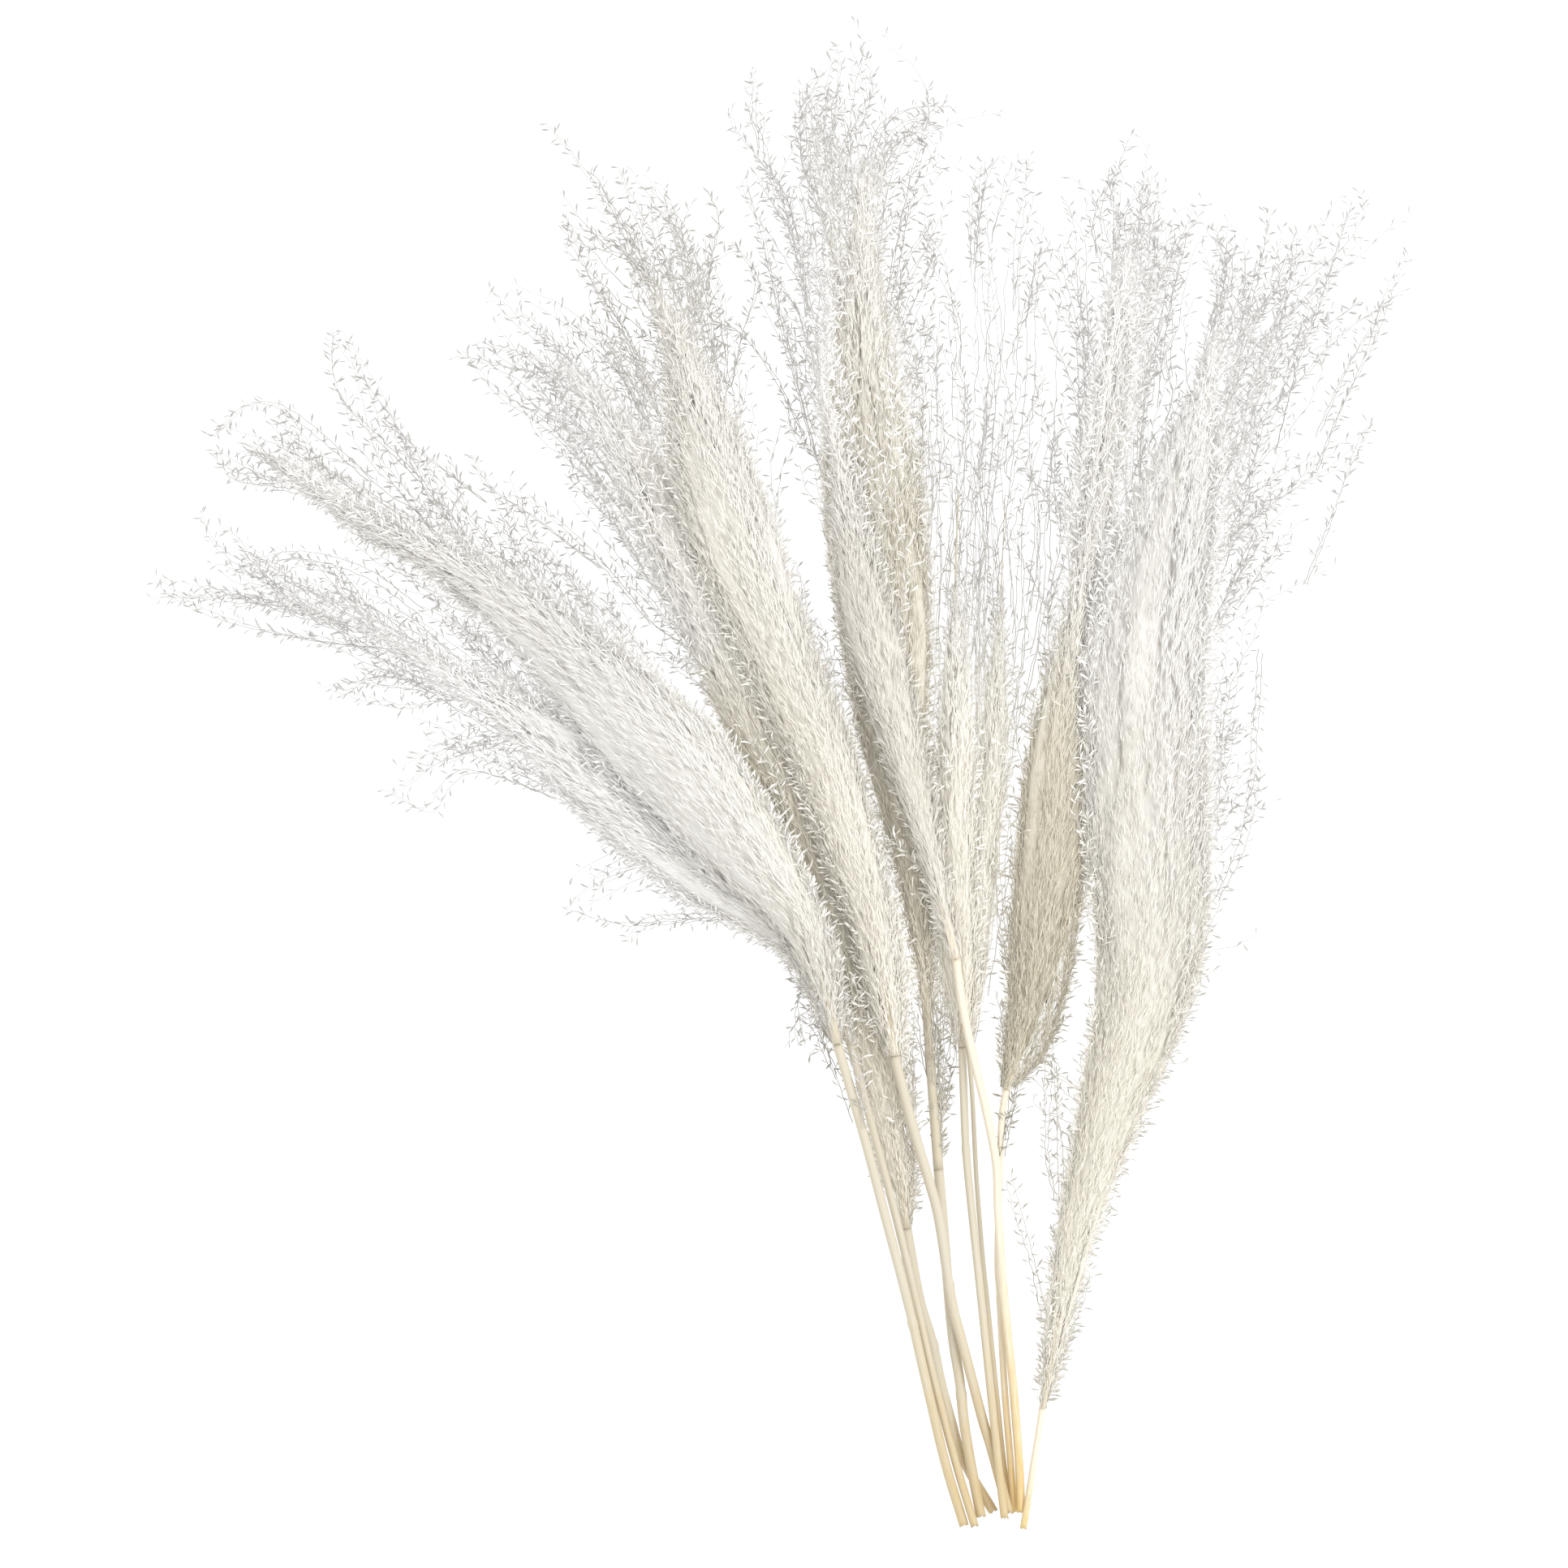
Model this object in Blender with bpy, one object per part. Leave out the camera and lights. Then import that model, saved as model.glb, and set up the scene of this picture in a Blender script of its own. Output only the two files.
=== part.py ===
"""A bunch of ten dried plume reeds, cut and laid down flat.

Each reed is two pieces: a bare stem, and the feathery plume that it carries. The stems come
together and cross at their cut ends, and fan out towards the plumes. +Y runs up the bunch from the
cut ends to the tips, +X to its right and +Z up from the surface on which the lowest reeds lie.
The origin is under the middle of the bunch, on that surface.
"""
import math

import bmesh
import bpy
import numpy as np

MM = 0.001

# The middle of the bunch's outline in the plan below, which becomes the origin (mm).
PLAN_MIDDLE = (-1.0, -1.0)

# Gaps that keep the pieces from touching (mm).
PIECE_GAP = 0.4
JOINT_GAP = 0.4

# Stems: sides of their section, spacing of their rings, and the pithy hollow at the cut end (mm).
STEM_SIDES = 8
STEM_STEP = 36.0
HOLLOW_WIDTH = 0.5
HOLLOW_DEPTH = 3.0
NODE_SWELL = 1.18
NODE_LENGTH = 1.5

# Plumes: sides and ring spacing of the body, and how far its surface dips between tufts.
PLUME_SIDES = 10
PLUME_STEP = 38.0
TUFT_DIP = 0.14

# Locks, the tapered tufts that leave a plume's body: sides, rings, and widths (mm).
LOCK_SIDES = 5
LOCK_RINGS = 6
LOCK_ROOT_SHARE = 0.62
LOCK_TAPER = 1.4
LOCK_TIP_WIDTH = 1.0
LOCK_BEND = 0.45

# A plume is fluffy, so it lies flatter the wider it is: half height = w / (1 + w / FLATTEN).
FLATTEN = 24.0

# Laying: the distance between the points that are tested, and the steepest rise of a reed.
TEST_STEP = 2.0
STEEPEST_STEM = 0.16
STEEPEST_LOCK = 0.45
SETTLING_PASSES = 4

SEED = 7

CREAM = (0.86, 0.81, 0.70)
WHITE = (0.88, 0.87, 0.84)
SHADED = (0.74, 0.69, 0.60)
STRAW = (0.80, 0.68, 0.46)
GOLD = (0.84, 0.66, 0.36)
STRAW_ROUGHNESS = 0.55
FLUFF_ROUGHNESS = 0.95
SHARP_ANGLE = math.radians(50)

# The reeds, numbered from left to right at the stems. Every route is a list of points in plan, in
# mm from the photo's middle: (x, y) up the stem from its cut end, and (x, y, half width) up the
# plume from its foot, which the stem runs on to. A lock is (root, tip): it leaves the plume's
# middle line at its root. "nodes" are the joints of the culm, as shares of its length.
REEDS = {
    1: {
        "radius": 2.3, "straw": STRAW, "fluff": WHITE, "nodes": (0.42,),
        "stem": [(85, -350), (76, -320), (67, -282), (58, -243), (48, -205), (38, -167)],
        "plume": [(25, -122, 2.5), (18, -90, 10), (7, -61, 15), (-16, -26, 22), (-41, 8, 25),
                  (-68, 35, 22), (-96, 62, 18), (-127, 85, 15), (-160, 106, 11), (-198, 125, 8),
                  (-237, 150, 4.5), (-265, 168, 1.5)],
        "locks": [((-127, 85), (-213, 214)), ((-96, 62), (-189, 173)), ((-68, 35), (-141, 150)),
                  ((-198, 125), (-270, 156)), ((-160, 106), (-252, 179)), ((-41, 8), (-91, 106)),
                  ((18, -90), (9, -124)), ((-127, 85), (-166, 146)), ((-16, -26), (-62, -4))],
    },
    2: {
        "radius": 1.9, "straw": STRAW, "fluff": WHITE, "nodes": (0.55,),
        "stem": [(90, -350), (81, -320), (71, -282), (62, -243), (53, -205), (43, -167)],
        "plume": [(31, -122, 2.5), (19, -90, 5.5), (0, -67, 11), (-31, -42, 17), (-68, -15, 18),
                  (-102, 10, 17), (-137, 37, 14), (-171, 58, 11), (-206, 73, 8), (-240, 91, 5.5),
                  (-276, 127, 1.5)],
        "locks": [((-206, 73), (-297, 98)), ((-102, 10), (-187, -5)), ((-137, 37), (-214, 45)),
                  ((-31, -42), (-103, -58)), ((-171, 58), (-238, 102)), ((-206, 73), (-262, 92))],
    },
    3: {
        "radius": 2.3, "straw": STRAW, "fluff": SHADED, "nodes": (0.60,),
        "stem": [(99, -344), (85, -320), (79, -301), (74, -282), (70, -263), (64, -243)],
        "plume": [(58, -210, 2.5), (54, -186, 8), (51, -163, 10), (44, -128, 10), (32, -90, 10),
                  (20, -51, 12), (5, -13, 13), (-14, 25, 15), (-31, 64, 16), (-49, 102, 17),
                  (-68, 141, 15), (-85, 173, 11), (-108, 202, 7), (-141, 233, 1.5)],
        "locks": [((-85, 173), (-152, 205)), ((-68, 141), (-125, 179)), ((-49, 102), (-100, 148)),
                  ((-68, 141), (-104, 222)), ((-14, 25), (-62, 72))],
    },
    4: {
        "radius": 2.5, "straw": STRAW, "fluff": SHADED, "nodes": (0.35,),
        "stem": [(93, -346), (88, -320), (85, -301), (83, -282), (80, -263), (78, -243), (75, -205)],
        "plume": [(73, -182, 2.5), (70, -144, 5), (67, -105, 6), (63, -59, 8), (58, -13, 12),
                  (53, 33, 17), (49, 79, 21), (44, 125, 22), (39, 171, 21), (37, 217, 18),
                  (37, 260, 15), (38, 298, 9), (40, 325, 4), (36, 349, 1)],
        "locks": [((37, 260), (82, 320)), ((37, 217), (67, 288)), ((37, 260), (13, 313)),
                  ((39, 171), (17, 263)), ((44, 125), (71, 202)), ((44, 125), (12, 204)),
                  ((53, 33), (70, 110))],
    },
    5: {
        "radius": 2.5, "straw": STRAW, "fluff": CREAM, "nodes": (0.50,),
        "stem": [(106, -344), (98, -314), (94, -301), (89, -282), (84, -263), (79, -243), (73, -205),
                 (68, -186), (60, -159)],
        "plume": [(52, -128, 2.5), (48, -98, 10), (43, -67, 11), (33, -32, 14), (22, 6, 16),
                  (9, 41, 18), (-6, 79, 19), (-20, 118, 22), (-34, 156, 24), (-46, 194, 23),
                  (-59, 229, 18), (-73, 260, 11), (-91, 289, 1.5)],
        "locks": [((-59, 229), (-100, 263)), ((-46, 194), (-48, 256)), ((-46, 194), (-36, 279)),
                  ((-34, 156), (-85, 217)), ((-6, 79), (-14, 171)), ((33, -32), (7, 33)),
                  ((22, 6), (26, 66))],
    },
    6: {
        "radius": 1.9, "straw": STRAW, "fluff": CREAM, "nodes": (0.78,),
        "stem": [(104, -346), (101, -320), (97, -282), (93, -243), (89, -205), (86, -174),
                 (85, -151)],
        "plume": [(84, -124, 2.5), (83, -82, 6), (81, -36, 8), (81, 10, 10), (81, 56, 11),
                  (81, 102, 12), (83, 148, 12), (85, 194, 10), (88, 237, 8), (94, 271, 4.5),
                  (102, 297, 1.5)],
        "locks": [((85, 194), (90, 285)), ((83, 148), (74, 233)), ((81, 102), (71, 164)),
                  ((81, 10), (72, 66))],
    },
    7: {
        "radius": 1.1, "straw": STRAW, "fluff": WHITE, "nodes": (),
        "stem": [(108, -344), (104, -320), (100, -282), (96, -243), (94, -224), (91, -186),
                 (89, -147)],
        "plume": [(87, -124, 2), (90, -82, 4.5), (94, -36, 7), (98, 10, 8), (101, 56, 9),
                  (103, 102, 10), (105, 148, 9), (108, 194, 8), (110, 237, 5.5), (114, 271, 3),
                  (116, 296, 1.5)],
        "locks": [((108, 194), (126, 257)), ((105, 148), (124, 210)), ((103, 102), (114, 171)),
                  ((98, 10), (111, 71))],
    },
    8: {
        "radius": 2.0, "straw": GOLD, "fluff": WHITE, "nodes": (0.40,),
        "stem": [(112, -344), (111, -320), (108, -282), (104, -243), (101, -202), (100, -179),
                 (95, -153), (89, -128), (84, -104)],
        "plume": [(81, -82, 2.5), (71, -44, 6), (60, -5, 9), (49, 33, 11), (40, 71, 12),
                  (33, 110, 12), (26, 148, 13), (19, 187, 13), (13, 221, 12), (5, 256, 8),
                  (-8, 286, 4), (-25, 317, 1)],
        "locks": [((13, 221), (-12, 294)), ((26, 148), (-8, 244)), ((40, 71), (13, 156)),
                  ((19, 187), (30, 256)), ((33, 110), (3, 187))],
    },
    9: {
        "radius": 1.6, "straw": GOLD, "fluff": SHADED, "nodes": (0.50,),
        "stem": [(109, -344), (107, -320), (104, -282), (102, -243), (101, -224), (102, -178),
                 (103, -156)],
        "plume": [(105, -144, 2.5), (112, -124, 11), (118, -98, 14), (121, -63, 15),
                  (126, -25, 15), (130, 14, 15), (135, 52, 15), (140, 91, 16), (145, 129, 17),
                  (149, 167, 17), (154, 206, 15), (160, 240, 12), (164, 267, 7), (169, 287, 1.5)],
        "locks": [((154, 206), (153, 288)), ((145, 129), (132, 244)), ((140, 91), (121, 164)),
                  ((149, 167), (178, 285)), ((118, -98), (105, -71)), ((154, 206), (188, 269)),
                  ((126, -25), (113, 30))],
    },
    10: {
        "radius": 1.6, "straw": GOLD, "fluff": WHITE, "nodes": (),
        "stem": [(113, -351), (115, -339), (118, -320), (120, -308)],
        "plume": [(122, -295, 2.5), (127, -270, 4.5), (132, -240, 6), (138, -209, 8),
                  (146, -178, 12), (154, -147, 18), (163, -113, 22), (170, -74, 25),
                  (174, -32, 26), (177, 10, 27), (180, 52, 27), (185, 94, 27), (190, 137, 26),
                  (197, 179, 23), (204, 214, 17), (215, 244, 9), (228, 273, 2)],
        "locks": [((185, 94), (295, 251)), ((190, 137), (267, 272)), ((180, 52), (278, 171)),
                  ((177, 10), (251, 125)), ((174, -32), (228, 33)), ((170, -74), (223, -7)),
                  ((163, -113), (207, -78)), ((154, -147), (186, -121)), ((204, 214), (197, 267)),
                  ((146, -178), (124, -128)), ((197, 179), (232, 232)), ((180, 52), (228, 140))],
    },
}

# The order in which the reeds are laid down, lowest first.
LAYING_ORDER = (3, 4, 7, 9, 2, 5, 6, 8, 1, 10)

# Columns of a ring: where it is in plan, its half width, its half height and its middle's height.
X, Y, WIDTH, HEIGHT, Z = range(5)


def clear_scene():
    """Remove every object that the file opened with."""
    for obj in list(bpy.data.objects):
        bpy.data.objects.remove(obj, do_unlink=True)


def smooth_curve(points, steps=12):
    """A Catmull-Rom curve through points of any number of columns."""
    points = np.asarray(points, float)
    before = 2 * points[0] - points[1]
    after = 2 * points[-1] - points[-2]
    points = np.vstack([before, points, after])
    t = np.linspace(0, 1, steps, endpoint=False)[:, None]
    spans = []
    for a, b, c, d in zip(points, points[1:], points[2:], points[3:]):
        bend = (2 * a - 5 * b + 4 * c - d) * t ** 2 + (3 * b - a - 3 * c + d) * t ** 3
        spans.append(0.5 * (2 * b + (c - a) * t + bend))
    spans.append(points[-2][None, :])
    return np.vstack(spans)


def lengths_along(curve):
    """The distance in plan from a curve's first point to each of its points."""
    steps = np.hypot(np.diff(curve[:, X]), np.diff(curve[:, Y]))
    return np.concatenate([[0.0], np.cumsum(steps)])


def at_lengths(curve, lengths):
    """A curve's columns at the given distances along it."""
    along = lengths_along(curve)
    return np.column_stack([np.interp(lengths, along, column) for column in curve.T])


def flattened(width):
    """The half height of a plume or lock of this half width, as it lies."""
    return width / (1 + width / FLATTEN)


def ring_table(plan, half_height):
    """Rings as rows of x, y, half width, half height and height, the last still 0."""
    return np.column_stack([plan[:, X], plan[:, Y], plan[:, WIDTH], half_height, np.zeros(len(plan))])


def stem_rings(reed):
    """Rings of a stem from its cut end to the plume's foot, thicker at the culm's nodes."""
    foot = reed["plume"][0][:2]
    curve = smooth_curve(reed["stem"] + [foot])
    length = lengths_along(curve)[-1] - JOINT_GAP
    count = max(4, round(length / STEM_STEP) + 1)
    stops = list(np.linspace(0, length, count))
    swollen = []
    for share in reed["nodes"]:
        middle = share * length
        stops = [s for s in stops if abs(s - middle) > 3 * NODE_LENGTH]
        stops += [middle - NODE_LENGTH, middle, middle + NODE_LENGTH]
        swollen.append(middle)
    stops = np.array(sorted(stops))
    plan = at_lengths(curve, stops)
    radius = np.full(len(stops), reed["radius"])
    for middle in swollen:
        radius[np.isclose(stops, middle)] *= NODE_SWELL
    return ring_table(np.column_stack([plan, radius]), radius)


def plume_rings(reed):
    """Rings of a plume's body, from its foot to its tip."""
    curve = smooth_curve(reed["plume"])
    curve[:, WIDTH] = np.maximum(curve[:, WIDTH], LOCK_TIP_WIDTH)
    length = lengths_along(curve)[-1]
    count = round(length / PLUME_STEP) + 1
    plan = at_lengths(curve, np.linspace(0, length, count))
    return ring_table(plan, flattened(plan[:, WIDTH]))


def between_rings(rings):
    """Points at short steps along the straight runs between rings, and the run of each point."""
    runs = []
    owners = []
    for i, (a, b) in enumerate(zip(rings, rings[1:])):
        count = max(2, math.ceil(math.hypot(*(b - a)[:2]) / TEST_STEP) + 1)
        t = np.linspace(0, 1, count)[:, None]
        runs.append(a + (b - a) * t)
        owners += [i] * count
    return np.vstack(runs), np.array(owners)


def height_needed(points, laid):
    """How high the middle of a piece must be at each point, to lie on what is laid already."""
    needed = points[:, HEIGHT].copy()
    if laid is None:
        return needed
    for i, point in enumerate(points):
        apart = np.hypot(laid[:, X] - point[X], laid[:, Y] - point[Y])
        reach = laid[:, WIDTH] + point[WIDTH] + PIECE_GAP
        near = apart < reach
        if near.any():
            tall = laid[near, HEIGHT] + point[HEIGHT] + PIECE_GAP
            lift = laid[near, Z] + tall * np.sqrt(1 - (apart[near] / reach[near]) ** 2)
            needed[i] = max(needed[i], lift.max())
    return needed


def lay(rings, laid, steepest, root_height=None):
    """Set the rings' heights so that the piece rests on the surface and on the pieces below."""
    points, owners = between_rings(rings)
    needed = height_needed(points, laid)
    z = np.zeros(len(rings))
    for run in range(len(rings) - 1):
        highest = needed[owners == run].max()
        z[run] = max(z[run], highest)
        z[run + 1] = max(z[run + 1], highest)
    along = lengths_along(rings)
    if root_height is not None:
        z[0] = root_height
    for i in range(1, len(z)):
        z[i] = max(z[i], z[i - 1] - steepest * (along[i] - along[i - 1]))
    if root_height is None:
        for i in range(len(z) - 2, -1, -1):
            z[i] = max(z[i], z[i + 1] - steepest * (along[i + 1] - along[i]))
        for _ in range(SETTLING_PASSES):
            z[1:-1] = np.maximum(z[1:-1], (z[:-2] + z[2:]) / 2)
    rings[:, Z] = z
    return rings


def add_to_pile(laid, rings):
    """The pile with one more piece on it, as points at short steps."""
    points, _ = between_rings(rings)
    return points if laid is None else np.vstack([laid, points])


def ring_frames(rings):
    """The direction of travel at each ring, and the level direction across it."""
    middles = rings[:, [X, Y, Z]]
    along = np.gradient(middles, axis=0)
    along /= np.linalg.norm(along, axis=1)[:, None]
    across = np.cross(along, (0.0, 0.0, 1.0))
    across /= np.linalg.norm(across, axis=1)[:, None]
    upward = np.cross(across, along)
    return middles, across, upward


def ring_loops(rings, sides, dips=None):
    """The corner points of each ring, the lowest first, as an array of rings by sides by 3."""
    middles, across, upward = ring_frames(rings)
    angles = np.arange(sides) * math.tau / sides - math.pi / 2
    reach = np.ones((len(rings), sides)) if dips is None else 1 - dips
    wide = rings[:, WIDTH, None] * np.cos(angles) * reach
    tall = rings[:, HEIGHT, None] * np.sin(angles) * reach
    return middles[:, None] + wide[..., None] * across[:, None] + tall[..., None] * upward[:, None]


def mesh_from_loops(name, loops, hollow=None):
    """A closed mesh through the loops. A hollow is a loop sunk into the first end."""
    made = bmesh.new()
    rows = [[made.verts.new(point * MM) for point in loop] for loop in loops]
    if hollow is not None:
        rim, floor = ([made.verts.new(point * MM) for point in loop] for loop in hollow)
        rows = [floor, rim] + rows
    sides = len(rows[0])
    for low, high in zip(rows, rows[1:]):
        for i in range(sides):
            j = (i + 1) % sides
            made.faces.new((low[i], low[j], high[j], high[i]))
    made.faces.new(list(reversed(rows[0])))
    made.faces.new(rows[-1])
    bmesh.ops.recalc_face_normals(made, faces=made.faces)
    mesh = bpy.data.meshes.new(name)
    made.to_mesh(mesh)
    made.free()
    return mesh


def material(name, colour, roughness):
    """A plain Principled material."""
    made = bpy.data.materials.new(name)
    made.use_nodes = True
    shader = made.node_tree.nodes["Principled BSDF"]
    shader.inputs["Base Color"].default_value = (*colour, 1)
    shader.inputs["Roughness"].default_value = roughness
    shader.inputs["Metallic"].default_value = 0.0
    return made


def add_object(name, mesh):
    """Link a mesh into the scene as an object."""
    obj = bpy.data.objects.new(name, mesh)
    bpy.context.collection.objects.link(obj)
    return obj


def finish_object(obj, finish):
    """Give an object its one material, and shade it smooth where it is round."""
    obj.data.materials.clear()
    obj.data.materials.append(finish)
    obj.data.shade_smooth()
    obj.data.set_sharp_from_angle(angle=SHARP_ANGLE)
    return obj


def build_stem(number, reed, rings):
    """The bare stem, with the pith gone from its cut end."""
    loops = ring_loops(rings, STEM_SIDES)
    middle = loops[0].mean(axis=0)
    inward = loops[1].mean(axis=0) - middle
    inward /= np.linalg.norm(inward)
    rim = middle + (loops[0] - middle) * HOLLOW_WIDTH
    hollow = (rim, rim + inward * HOLLOW_DEPTH)
    name = f"stem_{number:02d}"
    stem = add_object(name, mesh_from_loops(name, loops, hollow))
    return finish_object(stem, material(f"{name}_straw", reed["straw"], STRAW_ROUGHNESS))


def tuft_dips(rings, sides, rng):
    """How far each corner of a plume's body is drawn in, so that its surface is tufted.

    The foot keeps its size, and the lowest corners stay down on what the plume lies on.
    """
    dips = TUFT_DIP * rng.random((len(rings), sides))
    dips[0] = 0
    dips[:, 0] = 0
    return dips


def plume_point(rings, place):
    """The middle of the plume nearest to a place in plan: its half width, height and direction."""
    points, owners = between_rings(rings)
    nearest = np.argmin(np.hypot(points[:, X] - place[0], points[:, Y] - place[1]))
    run = owners[nearest]
    direction = (rings[run + 1] - rings[run])[[X, Y]]
    return points[nearest], direction / np.linalg.norm(direction)


def lock_rings(root, tip, plume, laid):
    """Rings of one lock: it leaves along the plume and bends out to its tip."""
    start, direction = plume_point(plume, root)
    begin = start[[X, Y]]
    end = np.array(tip, float)
    ahead = np.linalg.norm(end - begin) * LOCK_BEND
    if np.dot(direction, end - begin) < 0:
        ahead = -ahead
    bend = begin + direction * ahead
    t = np.linspace(0, 1, LOCK_RINGS)[:, None]
    plan = (1 - t) ** 2 * begin + 2 * t * (1 - t) * bend + t ** 2 * end
    widest = LOCK_ROOT_SHARE * start[WIDTH]
    width = np.maximum(widest * (1 - t[:, 0] ** LOCK_TAPER), LOCK_TIP_WIDTH)
    rings = ring_table(np.column_stack([plan, width]), flattened(width))
    return lay(rings, laid, STEEPEST_LOCK, root_height=start[Z])


def fuse(body, lock_meshes):
    """Union the locks with the plume's body and keep the result as its mesh."""
    helpers = []
    for mesh in lock_meshes:
        lock = add_object("lock", mesh)
        union = body.modifiers.new("lock", "BOOLEAN")
        union.operation = "UNION"
        union.solver = "EXACT"
        union.object = lock
        helpers.append(lock)
    bpy.context.view_layer.update()
    evaluated = body.evaluated_get(bpy.context.evaluated_depsgraph_get())
    fused = bpy.data.meshes.new_from_object(evaluated)
    body.modifiers.clear()
    body.data = fused
    for lock in helpers:
        bpy.data.objects.remove(lock, do_unlink=True)


def build_plume(number, reed, rings, locks, rng):
    """The plume: a tufted body with its locks fused on."""
    name = f"plume_{number:02d}"
    loops = ring_loops(rings, PLUME_SIDES, tuft_dips(rings, PLUME_SIDES, rng))
    plume = add_object(name, mesh_from_loops(name, loops))
    fuse(plume, [mesh_from_loops("lock", ring_loops(lock, LOCK_SIDES)) for lock in locks])
    plume.data.name = name
    return finish_object(plume, material(f"{name}_fluff", reed["fluff"], FLUFF_ROUGHNESS))


def lay_reed(reed, laid):
    """Lay one reed on the pile. Gives its stem, its plume, its locks and the new pile."""
    stem = stem_rings(reed)
    plume = plume_rings(reed)
    whole = lay(np.vstack([stem, plume]), laid, STEEPEST_STEM)
    stem = whole[:len(stem)]
    plume = whole[len(stem):]
    locks = []
    around = add_to_pile(laid, stem)
    for root, tip in reed["locks"]:
        locks.append(lock_rings(root, tip, plume, around))
    pile = add_to_pile(around, plume)
    for lock in locks:
        pile = add_to_pile(pile, lock)
    return stem, plume, locks, pile


def centre_bunch(objects):
    """Move the meshes so that the origin is under the middle of the bunch."""
    for obj in objects:
        for vertex in obj.data.vertices:
            vertex.co.x -= PLAN_MIDDLE[0] * MM
            vertex.co.y -= PLAN_MIDDLE[1] * MM


def main():
    clear_scene()
    rng = np.random.default_rng(SEED)
    pile = None
    made = []
    for number in LAYING_ORDER:
        reed = REEDS[number]
        stem, plume, locks, pile = lay_reed(reed, pile)
        made.append(build_stem(number, reed, stem))
        made.append(build_plume(number, reed, plume, locks, rng))
    centre_bunch(made)
    return made


main()
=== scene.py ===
# %% [markdown]
# # A bunch of dried plume reeds, laid down
#
# Ten bleached reeds lie in a loose fan. Each has a smooth straw stem and a plume: a soft furry body
# that opens, towards its tip, into separate threads hung with tiny pointed spikelets. A frame of plain
# solids says where each reed lies. This lesson reads the frame and dresses it, piece by piece.

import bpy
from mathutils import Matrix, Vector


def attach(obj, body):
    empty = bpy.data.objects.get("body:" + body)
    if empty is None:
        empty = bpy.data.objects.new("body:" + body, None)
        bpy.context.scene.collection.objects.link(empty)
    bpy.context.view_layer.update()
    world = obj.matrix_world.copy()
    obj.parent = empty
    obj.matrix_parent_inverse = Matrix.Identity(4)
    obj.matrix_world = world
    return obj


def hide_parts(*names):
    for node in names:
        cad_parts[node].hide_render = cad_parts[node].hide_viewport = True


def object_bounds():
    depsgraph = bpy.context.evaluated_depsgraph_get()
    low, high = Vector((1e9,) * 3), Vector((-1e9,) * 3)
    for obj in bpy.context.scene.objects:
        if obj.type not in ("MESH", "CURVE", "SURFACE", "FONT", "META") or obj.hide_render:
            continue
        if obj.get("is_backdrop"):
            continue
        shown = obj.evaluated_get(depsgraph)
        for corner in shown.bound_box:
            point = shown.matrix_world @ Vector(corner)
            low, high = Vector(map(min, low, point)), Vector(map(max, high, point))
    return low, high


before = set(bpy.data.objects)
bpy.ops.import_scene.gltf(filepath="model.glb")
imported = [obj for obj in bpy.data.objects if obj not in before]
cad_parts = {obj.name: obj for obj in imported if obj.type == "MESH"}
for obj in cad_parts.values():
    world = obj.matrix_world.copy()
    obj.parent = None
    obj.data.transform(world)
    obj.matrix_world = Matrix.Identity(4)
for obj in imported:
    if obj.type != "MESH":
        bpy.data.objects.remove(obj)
FRAME_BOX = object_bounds()
print("solids in the frame:", len(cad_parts))

# %% [markdown]
# ## Millimetres and arrays
#
# A spikelet is 5 mm long, so it is easiest to think in millimetres and to turn them into metres once,
# when a mesh is made. A plume has tens of thousands of hairs. Blender could grow them as particles,
# but those are not mesh, and a mesh file of the bunch would lose them. So every hair here is a row in a
# numpy array, and the rows are joined into one mesh.

# %% Units and vector helpers
import math
from types import SimpleNamespace

import bpy
import numpy as np
from mathutils import Vector
from mathutils.bvhtree import BVHTree

MM = 0.001
UP = np.array((0.0, 0.0, 1.0))
NEARLY_UP = UP + 0.001      # with this one, even a thread that stands upright has a side


def unit(vectors):
    """The same vectors at length 1."""
    return vectors / np.maximum(np.linalg.norm(vectors, axis=-1, keepdims=True), 1e-9)


def blend(low, high, value):
    """0 at low and 1 at high, level past both, with a soft S between. Either may be the greater."""
    t = np.clip((value - low) / (high - low), 0, 1)
    return t * t * (3 - 2 * t)


def softened(values, reach):
    """Each value averaged with its neighbours, up to reach steps away."""
    window = np.ones(2 * reach + 1) / (2 * reach + 1)
    return np.convolve(np.pad(values, reach, mode="edge"), window, mode="valid")


def square_to(ahead, up=NEARLY_UP):
    """Two directions square to ahead: one square to up as well, and one on the side of up."""
    side = unit(np.cross(ahead, up))
    return side, np.cross(side, ahead)


def turned(side, over, turn):
    """Directions at a turn round a pair of them: side at 0, over at a quarter turn."""
    return np.cos(turn)[..., None] * side + np.sin(turn)[..., None] * over


print("a quarter of the way, a blend is at", blend(0, 1, 0.25))
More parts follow.
